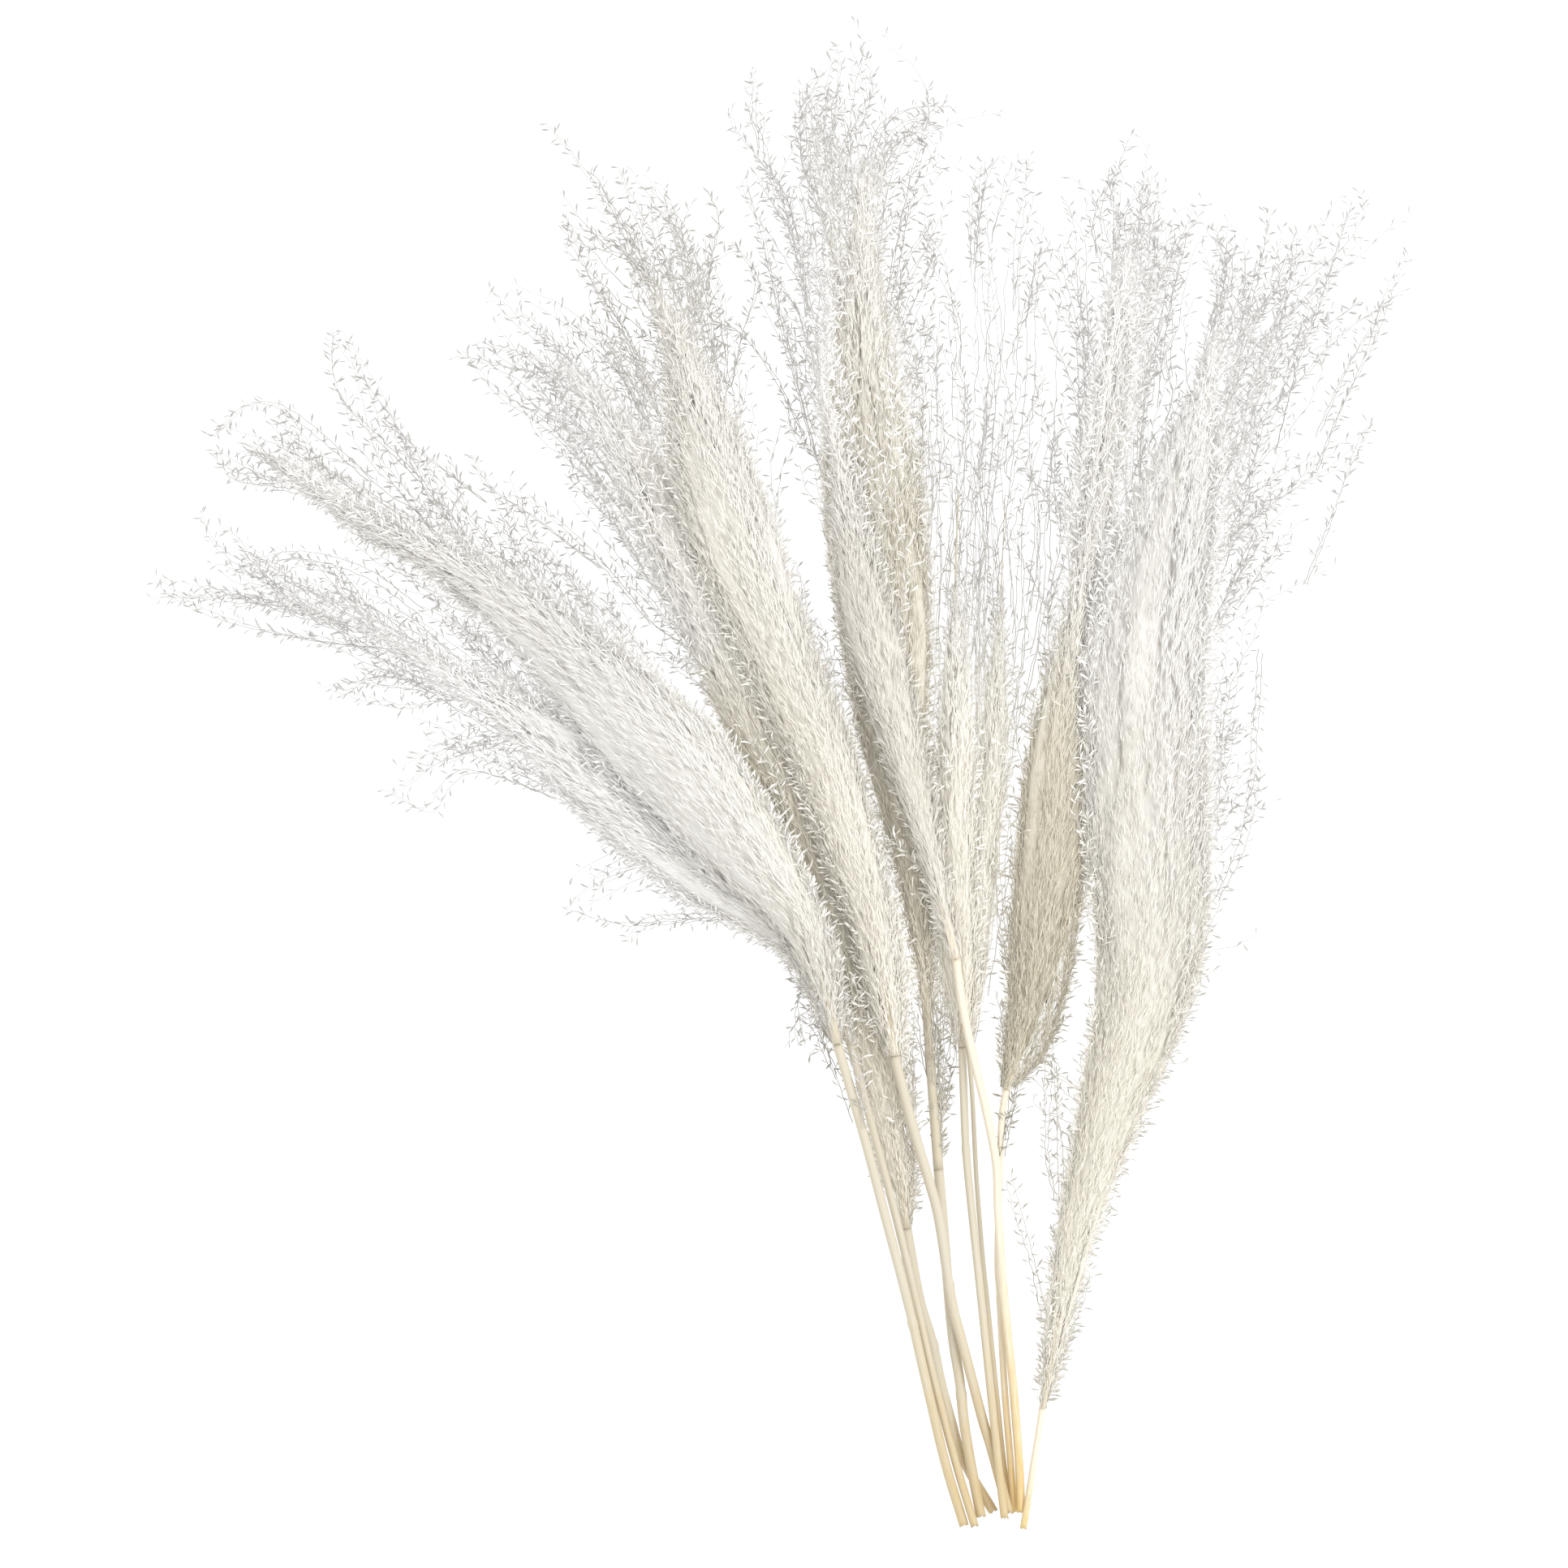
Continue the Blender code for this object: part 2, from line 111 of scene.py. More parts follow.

# %% [markdown]
# ## How a reed is noted down
#
# Ten bent reeds could be drawn as curves by hand, but then their sizes would be out of sight. Here
# each reed is a note of points in millimetres from the middle of the photo. The frame's solids lie
# along the same routes.
#
# - `stem` runs from the cut end up, and `plume` from its foot to its tip. A plume point also says how
#   far loose branches reach to its left and right, and then how far the dense silk does.
# - `locks` are side sprays: each leaves the plume near one point and reaches out to another.
# - `strays` are single threads that stand out against the ground, from the tip back to the plume.
# - `warm` and `dusk` say how far the colour goes from white to its warm one, and on to the
#   dull, darker one of painted shade where plumes lie on each other, as (share of the way up, amount
#   on the left, amount on the right).
# - `fur` and `racemes` are how many clusters of hairs and how many branches grow on it.

# %% What a note may leave out
PLAN_MIDDLE = np.array((-1.0, -1.0))    # the middle of the bunch, from the middle of the photo
USUAL = dict(
    straw="straw",          # the finish of the stem
    joint=None,             # how far up the stem its joint is, if it shows one
    reach=(40, 80, 120),    # the three lengths of the branches
    sag=0.55,               # how much of the way to the table the plume's sides sink
    bare=0.1,               # how much of a branch has no spikelets, from its foot
    scatter=0.09,           # how far apart the branches of one feather lie
    gathered=(0.2, 0.7),    # how far out a branch starts, as a share of where it ends
    branches=6,             # the branches of a side spray
)
REEDS = {}


def note(number, **own):
    """Note down a reed, with the usual value for whatever is left out."""
    REEDS[number] = SimpleNamespace(**{**USUAL, **own})
    print(f"reed {number}: {len(own['locks'])} side sprays, {len(own['strays'])} strays")


print("usual lengths of branches:", USUAL["reach"], "mm")

# %% [markdown]
# ## The two that sweep out to the left
#
# Reeds 1 and 2 are white, and bowed by their own weight, with tips that fray into single threads. One
# could be a bent copy of the other, but no two reeds bend alike, so each has a route of its own. The
# sides of reed 1 lie right down on the table, so it has more sag.

# %% Reed 1
note(
    1, radius=2.3, joint=0.42, fluff="white", fur=3800, racemes=140, reach=(45, 80, 120), sag=0.95,
    stem=[(85, -350), (76, -320), (67, -282), (58, -243), (48, -205), (38, -167)],
    plume=[(25, -122, 5, 4, 3, 3), (18, -90, 11, 11, 10, 8), (7, -61, 18, 13, 18, 10),
        (-16, -26, 32, 18, 32, 15), (-41, 8, 38, 22, 38, 18), (-68, 35, 34, 26, 33, 15),
        (-96, 62, 27, 30, 24, 11), (-127, 85, 18, 34, 15, 7), (-160, 106, 13, 34, 9, 5),
        (-198, 125, 10, 32, 5, 3), (-237, 150, 8, 26, 1, 1), (-265, 168, 8, 16, 0, 0)],
    locks=[((-127, 85), (-213, 214)), ((-96, 62), (-189, 173)), ((-68, 35), (-141, 150)),
        ((-198, 125), (-270, 156)), ((-160, 106), (-252, 179)), ((-41, 8), (-91, 106)),
        ((18, -90), (9, -124)), ((-127, 85), (-166, 146)), ((-16, -26), (-62, -4))],
    warm=[(0, 0.5, 0.4), (0.12, 0.4, 0.4), (0.25, 0.05, 0.4), (0.45, 0.05, 0.2), (0.6, 0, 0), (1, 0, 0)],
    dusk=[(0, 1, 0.9), (0.08, 0.8, 0.5), (0.2, 0.35, 0.15), (0.35, 0.1, 0.05), (0.5, 0.15, 0.2),
        (0.75, 0.35, 0.3), (1, 0.2, 0.2)],
    strays=[
        [(-269, 164), (-252, 179), (-238, 179), (-217, 164), (-194, 144)],
        [(-213, 214), (-212, 198), (-208, 183), (-194, 167), (-171, 144)],
        [(-256, 156), (-237, 152), (-210, 137)], [(-190, 171), (-171, 156), (-141, 133)],
        [(-148, 156), (-141, 141), (-118, 125), (-87, 102)],
        [(-121, 137), (-102, 121), (-87, 106), (-64, 79)], [(-270, 156), (-260, 144), (-236, 140)],
        [(21, -116), (27, -137), (34, -158)], [(30, -112), (34, -136), (38, -162)],
        [(33, -88), (36, -118), (39, -152)], [(14, -108), (19, -122), (27, -138)],
    ],
)

# %% Reed 2
note(
    2, radius=1.9, joint=0.55, fluff="white", fur=1900, racemes=100, reach=(45, 90, 140),
    stem=[(90, -350), (81, -320), (71, -282), (62, -243), (53, -205), (43, -167)],
    plume=[(31, -122, 4, 4, 2, 2), (19, -90, 8, 8, 5, 5), (0, -67, 13, 14, 11, 13),
        (-31, -42, 21, 18, 18, 22), (-68, -15, 25, 20, 18, 24), (-102, 10, 25, 24, 11, 20),
        (-137, 37, 22, 28, 3, 8), (-171, 58, 23, 30, 0, 1), (-206, 73, 24, 28, 0, 0),
        (-240, 91, 24, 18, 0, 0), (-276, 127, 26, 10, 0, 0)],
    locks=[((-206, 73), (-297, 98)), ((0, -67), (-52, 4)), ((-31, -42), (-88, 32)),
        ((-68, -15), (-122, 52)), ((-102, 10), (-187, -5)), ((-137, 37), (-214, 45)),
        ((-31, -42), (-103, -58)), ((-171, 58), (-238, 102)), ((-206, 73), (-262, 92))],
    warm=[(0, 0.2, 0.3), (0.3, 0.05, 0.1), (0.5, 0, 0), (1, 0, 0)],
    dusk=[(0, 0.7, 0.6), (0.15, 0.3, 0.2), (0.35, 0, 0), (1, 0, 0)],
    strays=[
        [(-298, 96), (-283, 85), (-256, 75), (-225, 68), (-190, 64)],
        [(-276, 127), (-267, 110), (-244, 94), (-217, 79)],
        [(-187, -3), (-167, -13), (-156, 2), (-141, 6), (-102, -9)],
        [(-214, 46), (-179, 37), (-152, 41), (-121, 29)], [(-103, -58), (-75, -65), (-25, -63), (-2, -71)],
        [(-256, 102), (-229, 106), (-198, 98), (-171, 79)], [(-75, -74), (-64, -63), (-33, -61)],
        [(7, -124), (5, -109), (9, -96), (15, -86)],
    ],
)

# %% [markdown]
# ## The crowd in the middle
#
# Reed 3 is dark beige and lies behind reed 5, which is cream and bright. Reed 4 is the tallest. Most of
# the shade in the photo is here, because the plumes lie on each other. Lamps alone could make it, but
# a soft light fills it in, so the dusk numbers paint that shade into the colour.

# %% Reed 3
note(
    3, radius=2.3, joint=0.6, fluff="beige", fur=2200, racemes=130, reach=(40, 70, 110),
    stem=[(99, -344), (85, -320), (79, -301), (74, -282), (70, -263), (64, -243)],
    plume=[(58, -210, 3, 3, 2, 2), (54, -186, 9, 9, 8, 8), (51, -163, 11, 11, 9.5, 9.5),
        (44, -128, 10, 12, 9, 11), (32, -90, 10, 14, 9, 13), (20, -51, 11, 16, 10, 15),
        (5, -13, 11, 16, 10, 15), (-14, 25, 13, 18, 12, 16), (-31, 64, 16, 20, 12, 17),
        (-49, 102, 24, 22, 12, 15), (-68, 141, 28, 30, 9, 14), (-85, 173, 28, 34, 3, 6),
        (-108, 202, 22, 34, 0, 0), (-141, 233, 12, 20, 0, 0)],
    locks=[((-85, 173), (-152, 205)), ((-68, 141), (-125, 179)), ((-49, 102), (-100, 148)),
        ((-68, 141), (-104, 222)), ((-14, 25), (-62, 72))],
    warm=[(0, 0.8, 0.8), (0.3, 0.7, 0.8), (0.45, 0.6, 0.6), (0.6, 0.1, 0.2), (1, 0, 0)],
    dusk=[(0, 0.1, 0), (0.12, 0.1, 0), (0.2, 0.6, 0.3), (0.35, 0.9, 0.5), (0.48, 0.8, 0.3), (0.6, 0.1, 0),
        (1, 0, 0)],
    strays=[
        [(-141, 233), (-125, 217), (-106, 202), (-87, 179)],
        [(-152, 205), (-137, 187), (-121, 177), (-102, 160), (-79, 133)],
        [(-125, 223), (-102, 202), (-79, 171)], [(-102, 148), (-87, 133), (-68, 106)],
    ],
)

# %% Reed 4
note(
    4, radius=2.5, joint=0.35, fluff="beige", fur=3000, racemes=145, reach=(45, 80, 120),
    stem=[(93, -346), (88, -320), (85, -301), (83, -282), (80, -263), (78, -243), (75, -205)],
    plume=[(73, -182, 3, 6, 0, 0), (70, -144, 3, 9, 0, 1), (67, -105, 5, 9, 1, 3), (63, -59, 10, 10, 5, 6),
        (58, -13, 14, 14, 12, 10), (53, 33, 22, 18, 20, 14), (49, 79, 26, 22, 23, 19),
        (44, 125, 28, 24, 24, 21), (39, 171, 26, 26, 19, 17), (37, 217, 24, 28, 11, 11),
        (37, 260, 28, 30, 4, 4), (38, 298, 34, 34, 0, 0), (40, 325, 36, 36, 0, 0), (36, 349, 16, 16, 0, 0)],
    locks=[((37, 260), (82, 320)), ((37, 217), (67, 288)), ((37, 260), (13, 313)), ((39, 171), (17, 263)),
        ((44, 125), (71, 202)), ((44, 125), (12, 204)), ((53, 33), (70, 110))],
    warm=[(0, 1, 1), (0.35, 0.7, 0.9), (0.6, 0.7, 0.6), (0.7, 0.6, 0.4), (0.8, 0.2, 0.1), (1, 0, 0)],
    dusk=[(0, 0.8, 0.6), (0.3, 0.7, 0.5), (0.42, 0.4, 0.4), (0.5, 0, 0.35), (0.62, 0, 0.25), (0.72, 0, 0.1),
        (0.82, 0.2, 0.2), (1, 0, 0)],
    strays=[
        [(35, 349), (42, 334), (42, 323), (38, 313), (28, 298), (25, 275)],
        [(82, 320), (63, 319), (48, 310), (40, 286)], [(19, 327), (28, 317), (32, 298), (33, 271)],
        [(74, 308), (63, 313), (50, 304), (44, 279)], [(5, 306), (17, 300), (28, 279), (32, 252)],
        [(71, 290), (67, 302), (55, 308), (46, 283), (42, 256)],
    ],
)

# %% Reed 5
note(
    5, radius=2.5, joint=0.5, fluff="cream", fur=3500, racemes=165,
    stem=[(106, -344), (98, -314), (94, -301), (89, -282), (84, -263), (79, -243), (73, -205), (68, -186),
        (60, -159)],
    plume=[(52, -128, 5, 5, 4, 4), (48, -98, 11, 10, 10, 9), (43, -67, 13, 11, 11, 10),
        (33, -32, 17, 12, 15, 11), (22, 6, 19, 14, 17, 13), (9, 41, 22, 14, 20, 13),
        (-6, 79, 26, 14, 23, 13), (-20, 118, 30, 17, 25, 15), (-34, 156, 38, 20, 20, 14),
        (-46, 194, 36, 22, 8, 7), (-59, 229, 34, 22, 0, 0), (-73, 260, 27, 20, 0, 0),
        (-91, 289, 12, 12, 0, 0)],
    locks=[((-59, 229), (-100, 263)), ((-46, 194), (-48, 256)), ((-46, 194), (-36, 279)),
        ((-34, 156), (-85, 217)), ((-6, 79), (-14, 171)), ((33, -32), (7, 33)), ((22, 6), (26, 66))],
    warm=[(0, 0.9, 0.7), (0.3, 0.85, 0.6), (0.6, 0.5, 0.25), (0.8, 0.1, 0.1), (1, 0, 0)],
    dusk=[(0, 0.15, 0.1), (0.3, 0.15, 0.1), (0.6, 0.1, 0.05), (0.85, 0.5, 0.4), (1, 0.2, 0.2)],
    strays=[
        [(-91, 289), (-85, 279), (-75, 260), (-64, 240)], [(-100, 263), (-98, 248), (-87, 229), (-71, 206)],
        [(-36, 280), (-31, 269), (-33, 256), (-37, 233)], [(-48, 260), (-45, 240), (-45, 210)],
        [(-25, 256), (-14, 237), (-20, 210), (-25, 187)],
    ],
)

# %% [markdown]
# ## Two thin plumes
#
# Reeds 6 and 7 are so thin that the table shows through them. Fewer branches alone would leave dense
# columns. So theirs also run side by side, far apart, and are bare up to their last quarter.

# %% Reed 6
note(
    6, radius=1.9, joint=0.78, fluff="cream", fur=850, racemes=56, reach=(60, 110, 160), bare=0.75,
    scatter=0.3, gathered=(0.8, 1.0), branches=2,
    stem=[(104, -346), (101, -320), (97, -282), (93, -243), (89, -205), (86, -174), (85, -151)],
    plume=[(84, -124, 4, 5, 3, 4), (83, -82, 11, 9, 10, 8), (81, -36, 12, 10, 9, 8), (81, 10, 13, 12, 8, 8),
        (81, 56, 17, 15, 4, 5), (81, 102, 21, 17, 0, 0), (83, 148, 24, 17, 0, 0), (85, 194, 26, 16, 0, 0),
        (88, 237, 23, 16, 0, 0), (94, 271, 17, 14, 0, 0), (102, 297, 8, 10, 0, 0)],
    locks=[((85, 194), (90, 285)), ((83, 148), (74, 233)), ((81, 102), (71, 164)), ((81, 10), (72, 66))],
    warm=[(0, 1, 0.9), (0.3, 0.8, 0.7), (0.5, 0.3, 0.3), (0.7, 0, 0), (1, 0, 0)],
    dusk=[(0, 0.2, 0.1), (0.3, 0, 0), (1, 0, 0)],
    strays=[
        [(102, 297), (96, 286), (92, 263), (90, 237)], [(114, 294), (105, 283), (98, 256)],
        [(92, 292), (90, 275), (88, 244)],
    ],
)

# %% Reed 7
note(
    7, radius=1.1, fluff="white", fur=550, racemes=54, reach=(60, 110, 160), bare=0.75, scatter=0.3,
    gathered=(0.8, 1.0), branches=2,
    stem=[(108, -344), (104, -320), (100, -282), (96, -243), (94, -224), (91, -186), (89, -147)],
    plume=[(87, -124, 3, 3, 2, 2), (90, -82, 6, 6, 5, 5), (94, -36, 8, 8, 7, 6), (98, 10, 10, 11, 6, 6),
        (101, 56, 13, 18, 3, 3), (103, 102, 15, 24, 0, 0), (105, 148, 15, 24, 0, 0),
        (108, 194, 16, 22, 0, 0), (110, 237, 15, 17, 0, 0), (114, 271, 10, 11, 0, 0),
        (116, 296, 6, 6, 0, 0)],
    locks=[((108, 194), (126, 257)), ((105, 148), (124, 210)), ((103, 102), (114, 171)),
        ((98, 10), (111, 71))],
    warm=[(0, 0.9, 0.8), (0.4, 0.6, 0.6), (0.6, 0.1, 0.1), (1, 0, 0)],
    dusk=[(0, 0.2, 0.1), (0.3, 0, 0), (1, 0, 0)],
    strays=[
        [(116, 296), (114, 279), (111, 256), (109, 225)], [(126, 256), (119, 244), (114, 217)],
    ],
)

# %% [markdown]
# ## The two golden stems beside them
#
# Reed 8 is white and lies on reed 4. Reed 9 is short, dense and beige. Their stems are fresher than
# the others, and more golden. One straw material could change from stem to stem, but two plain ones
# are easier to follow. So these stems, and that of reed 10, name the golden one.

# %% Reed 8
note(
    8, radius=2.0, straw="golden_straw", joint=0.4, fluff="white", fur=1200, racemes=75,
    stem=[(112, -344), (111, -320), (108, -282), (104, -243), (101, -202), (100, -179), (95, -153),
        (89, -128), (84, -104)],
    plume=[(81, -82, 3, 3, 2, 2), (71, -44, 5, 7, 3, 6), (60, -5, 8, 11, 5, 10), (49, 33, 10, 15, 7, 14),
        (40, 71, 13, 16, 10, 15), (33, 110, 18, 14, 8, 9), (26, 148, 22, 14, 2, 3), (19, 187, 22, 14, 0, 0),
        (13, 221, 22, 16, 0, 0), (5, 256, 18, 18, 0, 0), (-8, 286, 14, 18, 0, 0), (-25, 317, 6, 12, 0, 0)],
    locks=[((13, 221), (-12, 294)), ((26, 148), (-8, 244)), ((40, 71), (13, 156)), ((19, 187), (30, 256)),
        ((33, 110), (3, 187))],
    warm=[(0, 0.9, 0.8), (0.3, 0.7, 0.6), (0.5, 0.2, 0.2), (0.8, 0, 0), (1, 0, 0)],
    dusk=[(0, 0.6, 0.5), (0.3, 0.7, 0.6), (0.5, 0.6, 0.5), (0.7, 0.1, 0), (1, 0, 0)],
    strays=[
        [(-25, 317), (-23, 308), (-12, 296), (0, 279), (7, 256)],
        [(-8, 294), (-2, 279), (7, 256), (13, 233)], [(-37, 217), (-23, 214), (-6, 194), (9, 164)],
    ],
)

# %% Reed 9
note(
    9, radius=1.6, straw="golden_straw", joint=0.5, fluff="beige", fur=2300, racemes=130,
    stem=[(109, -344), (107, -320), (104, -282), (102, -243), (101, -224), (102, -178), (103, -156)],
    plume=[(105, -144, 3, 3, 3, 3), (112, -124, 9, 13, 8, 12), (118, -98, 13, 16, 12, 15),
        (121, -63, 14, 20, 13, 18), (126, -25, 16, 20, 15, 16), (130, 14, 16, 18, 14, 10),
        (135, 52, 15, 15, 10, 4), (140, 91, 15, 18, 4, 3), (145, 129, 17, 24, 3, 9),
        (149, 167, 20, 28, 0, 12), (154, 206, 22, 30, 0, 8), (160, 240, 24, 32, 0, 2),
        (164, 267, 22, 28, 0, 0), (169, 287, 14, 14, 0, 0)],
    locks=[((154, 206), (153, 288)), ((145, 129), (132, 244)), ((140, 91), (121, 164)),
        ((149, 167), (178, 285)), ((118, -98), (105, -71)), ((154, 206), (188, 269)),
        ((126, -25), (113, 30))],
    warm=[(0, 1, 1), (0.35, 0.8, 0.7), (0.5, 0.2, 0.2), (0.65, 0.1, 0.1), (1, 0, 0)],
    dusk=[(0, 1, 1), (0.3, 0.9, 0.7), (0.45, 0.5, 0.4), (0.55, 0.1, 0.1), (1, 0, 0)],
    strays=[
        [(153, 288), (156, 271), (158, 244)], [(174, 288), (172, 275), (169, 256), (165, 233)],
        [(132, 256), (138, 233), (146, 202)], [(105, -28), (114, -44), (128, -59), (136, -82)],
        [(128, 2), (132, -17), (130, -36), (140, -63)], [(108, -128), (107, -148), (102, -176)],
        [(114, -130), (109, -150), (104, -168)], [(104, -136), (103, -156), (101, -180)],
    ],
)

# %% [markdown]
# ## The big one apart
#
# Reed 10 lies by itself on the right. Almost all of it is plume: a slim foot, a broad furry body, and
# a crown of sprays that lean to the right. It could be two plumes, one laid on the other, but their
# sprays would not spring from one stalk. So it is one, with the most fur and twelve side sprays.

# %% Reed 10
note(
    10, radius=1.6, straw="golden_straw", fluff="white", fur=5000, racemes=190, reach=(50, 90, 140),
    stem=[(113, -351), (115, -339), (118, -320), (120, -308)],
    plume=[(122, -295, 2.5, 2.5, 1.6, 1.6), (127, -270, 4, 4.5, 3, 3.5), (132, -240, 6, 7, 5, 5.5),
        (138, -209, 9, 8, 8, 7.5), (146, -178, 11, 13, 10, 12), (154, -147, 14, 19, 13, 17),
        (163, -113, 20, 28, 16, 24), (170, -74, 27, 36, 23, 28), (174, -32, 37, 42, 33, 26),
        (177, 10, 42, 44, 37, 22), (180, 52, 48, 42, 41, 18), (185, 94, 54, 44, 36, 16),
        (190, 137, 52, 50, 22, 12), (197, 179, 46, 56, 4, 4), (204, 214, 42, 60, 0, 0),
        (215, 244, 36, 60, 0, 0), (228, 273, 28, 52, 0, 0)],
    locks=[((185, 94), (295, 251)), ((190, 137), (267, 272)), ((180, 52), (278, 171)),
        ((177, 10), (251, 125)), ((174, -32), (228, 33)), ((170, -74), (223, -7)),
        ((163, -113), (207, -78)), ((154, -147), (186, -121)), ((204, 214), (197, 267)),
        ((146, -178), (124, -128)), ((197, 179), (232, 232)), ((180, 52), (228, 140))],
    warm=[(0, 1, 1), (0.3, 1, 0.9), (0.45, 0.5, 0.3), (0.6, 0.2, 0.1), (0.8, 0.05, 0), (1, 0, 0)],
    dusk=[(0, 0.6, 0.5), (0.12, 0.35, 0.3), (0.35, 0.35, 0.3), (0.6, 0.1, 0.1), (0.8, 0.1, 0.1), (1, 0, 0)],
    strays=[
        [(295, 251), (288, 237), (278, 210), (263, 179), (251, 148)],
        [(268, 273), (263, 256), (255, 229), (243, 198), (232, 156)],
        [(228, 273), (226, 256), (220, 233), (213, 202)], [(278, 171), (270, 156), (259, 125), (247, 94)],
        [(105, -186), (111, -209), (117, -232), (122, -253)],
        [(124, -128), (124, -151), (124, -178), (128, -197)], [(128, -132), (129, -159), (130, -197)],
        [(146, -232), (142, -243), (135, -259)], [(226, 8), (222, -13), (217, -32), (205, -55)],
        [(218, -13), (222, 33), (224, 64)], [(243, 260), (240, 240), (232, 210)],
        [(282, 225), (266, 198), (251, 164)], [(213, 263), (211, 240), (205, 214)],
    ],
)

# %% [markdown]
# ## Smooth routes
#
# A reed bends evenly, so straight runs between its points would look like bent wire. Blender's own
# curves need handles, set by hand. A spline that takes its direction at each point from the points
# before and after it needs none, and passes through every point. So the points are joined by one,
# and it is then cut into even steps.

# %% From points to a smooth route
CURVE_STEPS = 12


def smooth_curve(points):
    """A smooth curve through points of any number of columns."""
    points = np.asarray(points, float)
    points = np.vstack([2 * points[0] - points[1], points, 2 * points[-1] - points[-2]])
    t = np.linspace(0, 1, CURVE_STEPS, endpoint=False)[:, None]
    spans = []
    for a, b, c, d in zip(points, points[1:], points[2:], points[3:]):
        bend = (2 * a - 5 * b + 4 * c - d) * t ** 2 + (3 * b - a - 3 * c + d) * t ** 3
        spans.append(0.5 * (2 * b + (c - a) * t + bend))
    spans.append(points[-2][None, :])
    return np.vstack(spans)


def distances(curve):
    """How far along a curve each of its points is, seen from above."""
    steps = np.hypot(np.diff(curve[:, 0]), np.diff(curve[:, 1]))
    return np.concatenate([[0.0], np.cumsum(steps)])


def even_steps(curve, count):
    """The curve again, as a count of points at even steps."""
    far = distances(curve)
    at = np.linspace(0, far[-1], count)
    return np.column_stack([np.interp(at, far, column) for column in curve.T])


for number, reed in REEDS.items():
    print(f"reed {number}: {distances(smooth_curve(reed.stem))[-1]:.0f} mm of bare stem")

# %% [markdown]
# ## Heights from the frame
#
# The routes are flat, but real reeds lie over one another. Heights could be guessed a second time, and
# might then miss the frame. So they are read from its own solids: a ray from above finds a solid's
# top, and one from below its underside.

# %% Read tops and undersides
FAR = 1000.0            # mm: a ray starts well clear of the bunch


def in_frame(x, y, z):
    """A place in the frame, from a point of the notes and a height in millimetres."""
    return Vector(((x - PLAN_MIDDLE[0]) * MM, (y - PLAN_MIDDLE[1]) * MM, z * MM))


class Solid:
    """One solid of the frame, asked for its heights in millimetres."""

    def __init__(self, name):
        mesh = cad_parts[name].data
        corners = [v.co.copy() for v in mesh.vertices]
        self.tree = BVHTree.FromPolygons(corners, [p.vertices[:] for p in mesh.polygons])

    def middle_and_half(self, plan):
        """The height of the solid's middle, and half its thickness, at each plan point.

        A point that misses the solid takes both from its neighbours on the route.
        """
        spans = []
        for x, y in plan:
            top = self.tree.ray_cast(in_frame(x, y, FAR), Vector((0, 0, -1)))[0]
            under = self.tree.ray_cast(in_frame(x, y, -FAR), Vector((0, 0, 1)))[0]
            if top is None or under is None:
                spans.append((np.nan, np.nan))
            else:
                spans.append(((top.z + under.z) / 2 / MM, (top.z - under.z) / 2 / MM))
        spans = np.array(spans)
        hit = ~np.isnan(spans[:, 0])
        index = np.arange(len(spans))
        return [np.interp(index, index[hit], column[hit]) for column in spans.T]

    def height_near(self, x, y, guess):
        """The height of the solid's nearest surface point."""
        return self.tree.find_nearest(in_frame(x, y, guess))[0].z / MM


print(f"the frame is {(FRAME_BOX[1][2] - FRAME_BOX[0][2]) / MM:.0f} mm high")

# %% [markdown]
# ## A plume's own coordinates
#
# Every hair of a plume follows its flow. Curve guides could do that for particles. Here a hair is
# placed by three numbers: how far up the plume it is (0 to 1), how far to the side, and how far up or
# down. `Flow.place` turns them into a point in space. It also lets the plume's loose sides sag
# towards the table, as soft branches do.

# %% The flow of a plume
HEIGHT_SOFTENING = 7    # steps of the plume to each side
THINNEST = 0.9          # mm: the least that a plume reaches up and down
NARROWEST = 2.0         # mm: the least that it reaches to each side
MOST_SAG = 1.2          # hairs far outside the plume sag no more than this
BATCH = 20000           # points looked up at once, to spare memory
EVERY = 4               # every fourth step of the plume is close enough


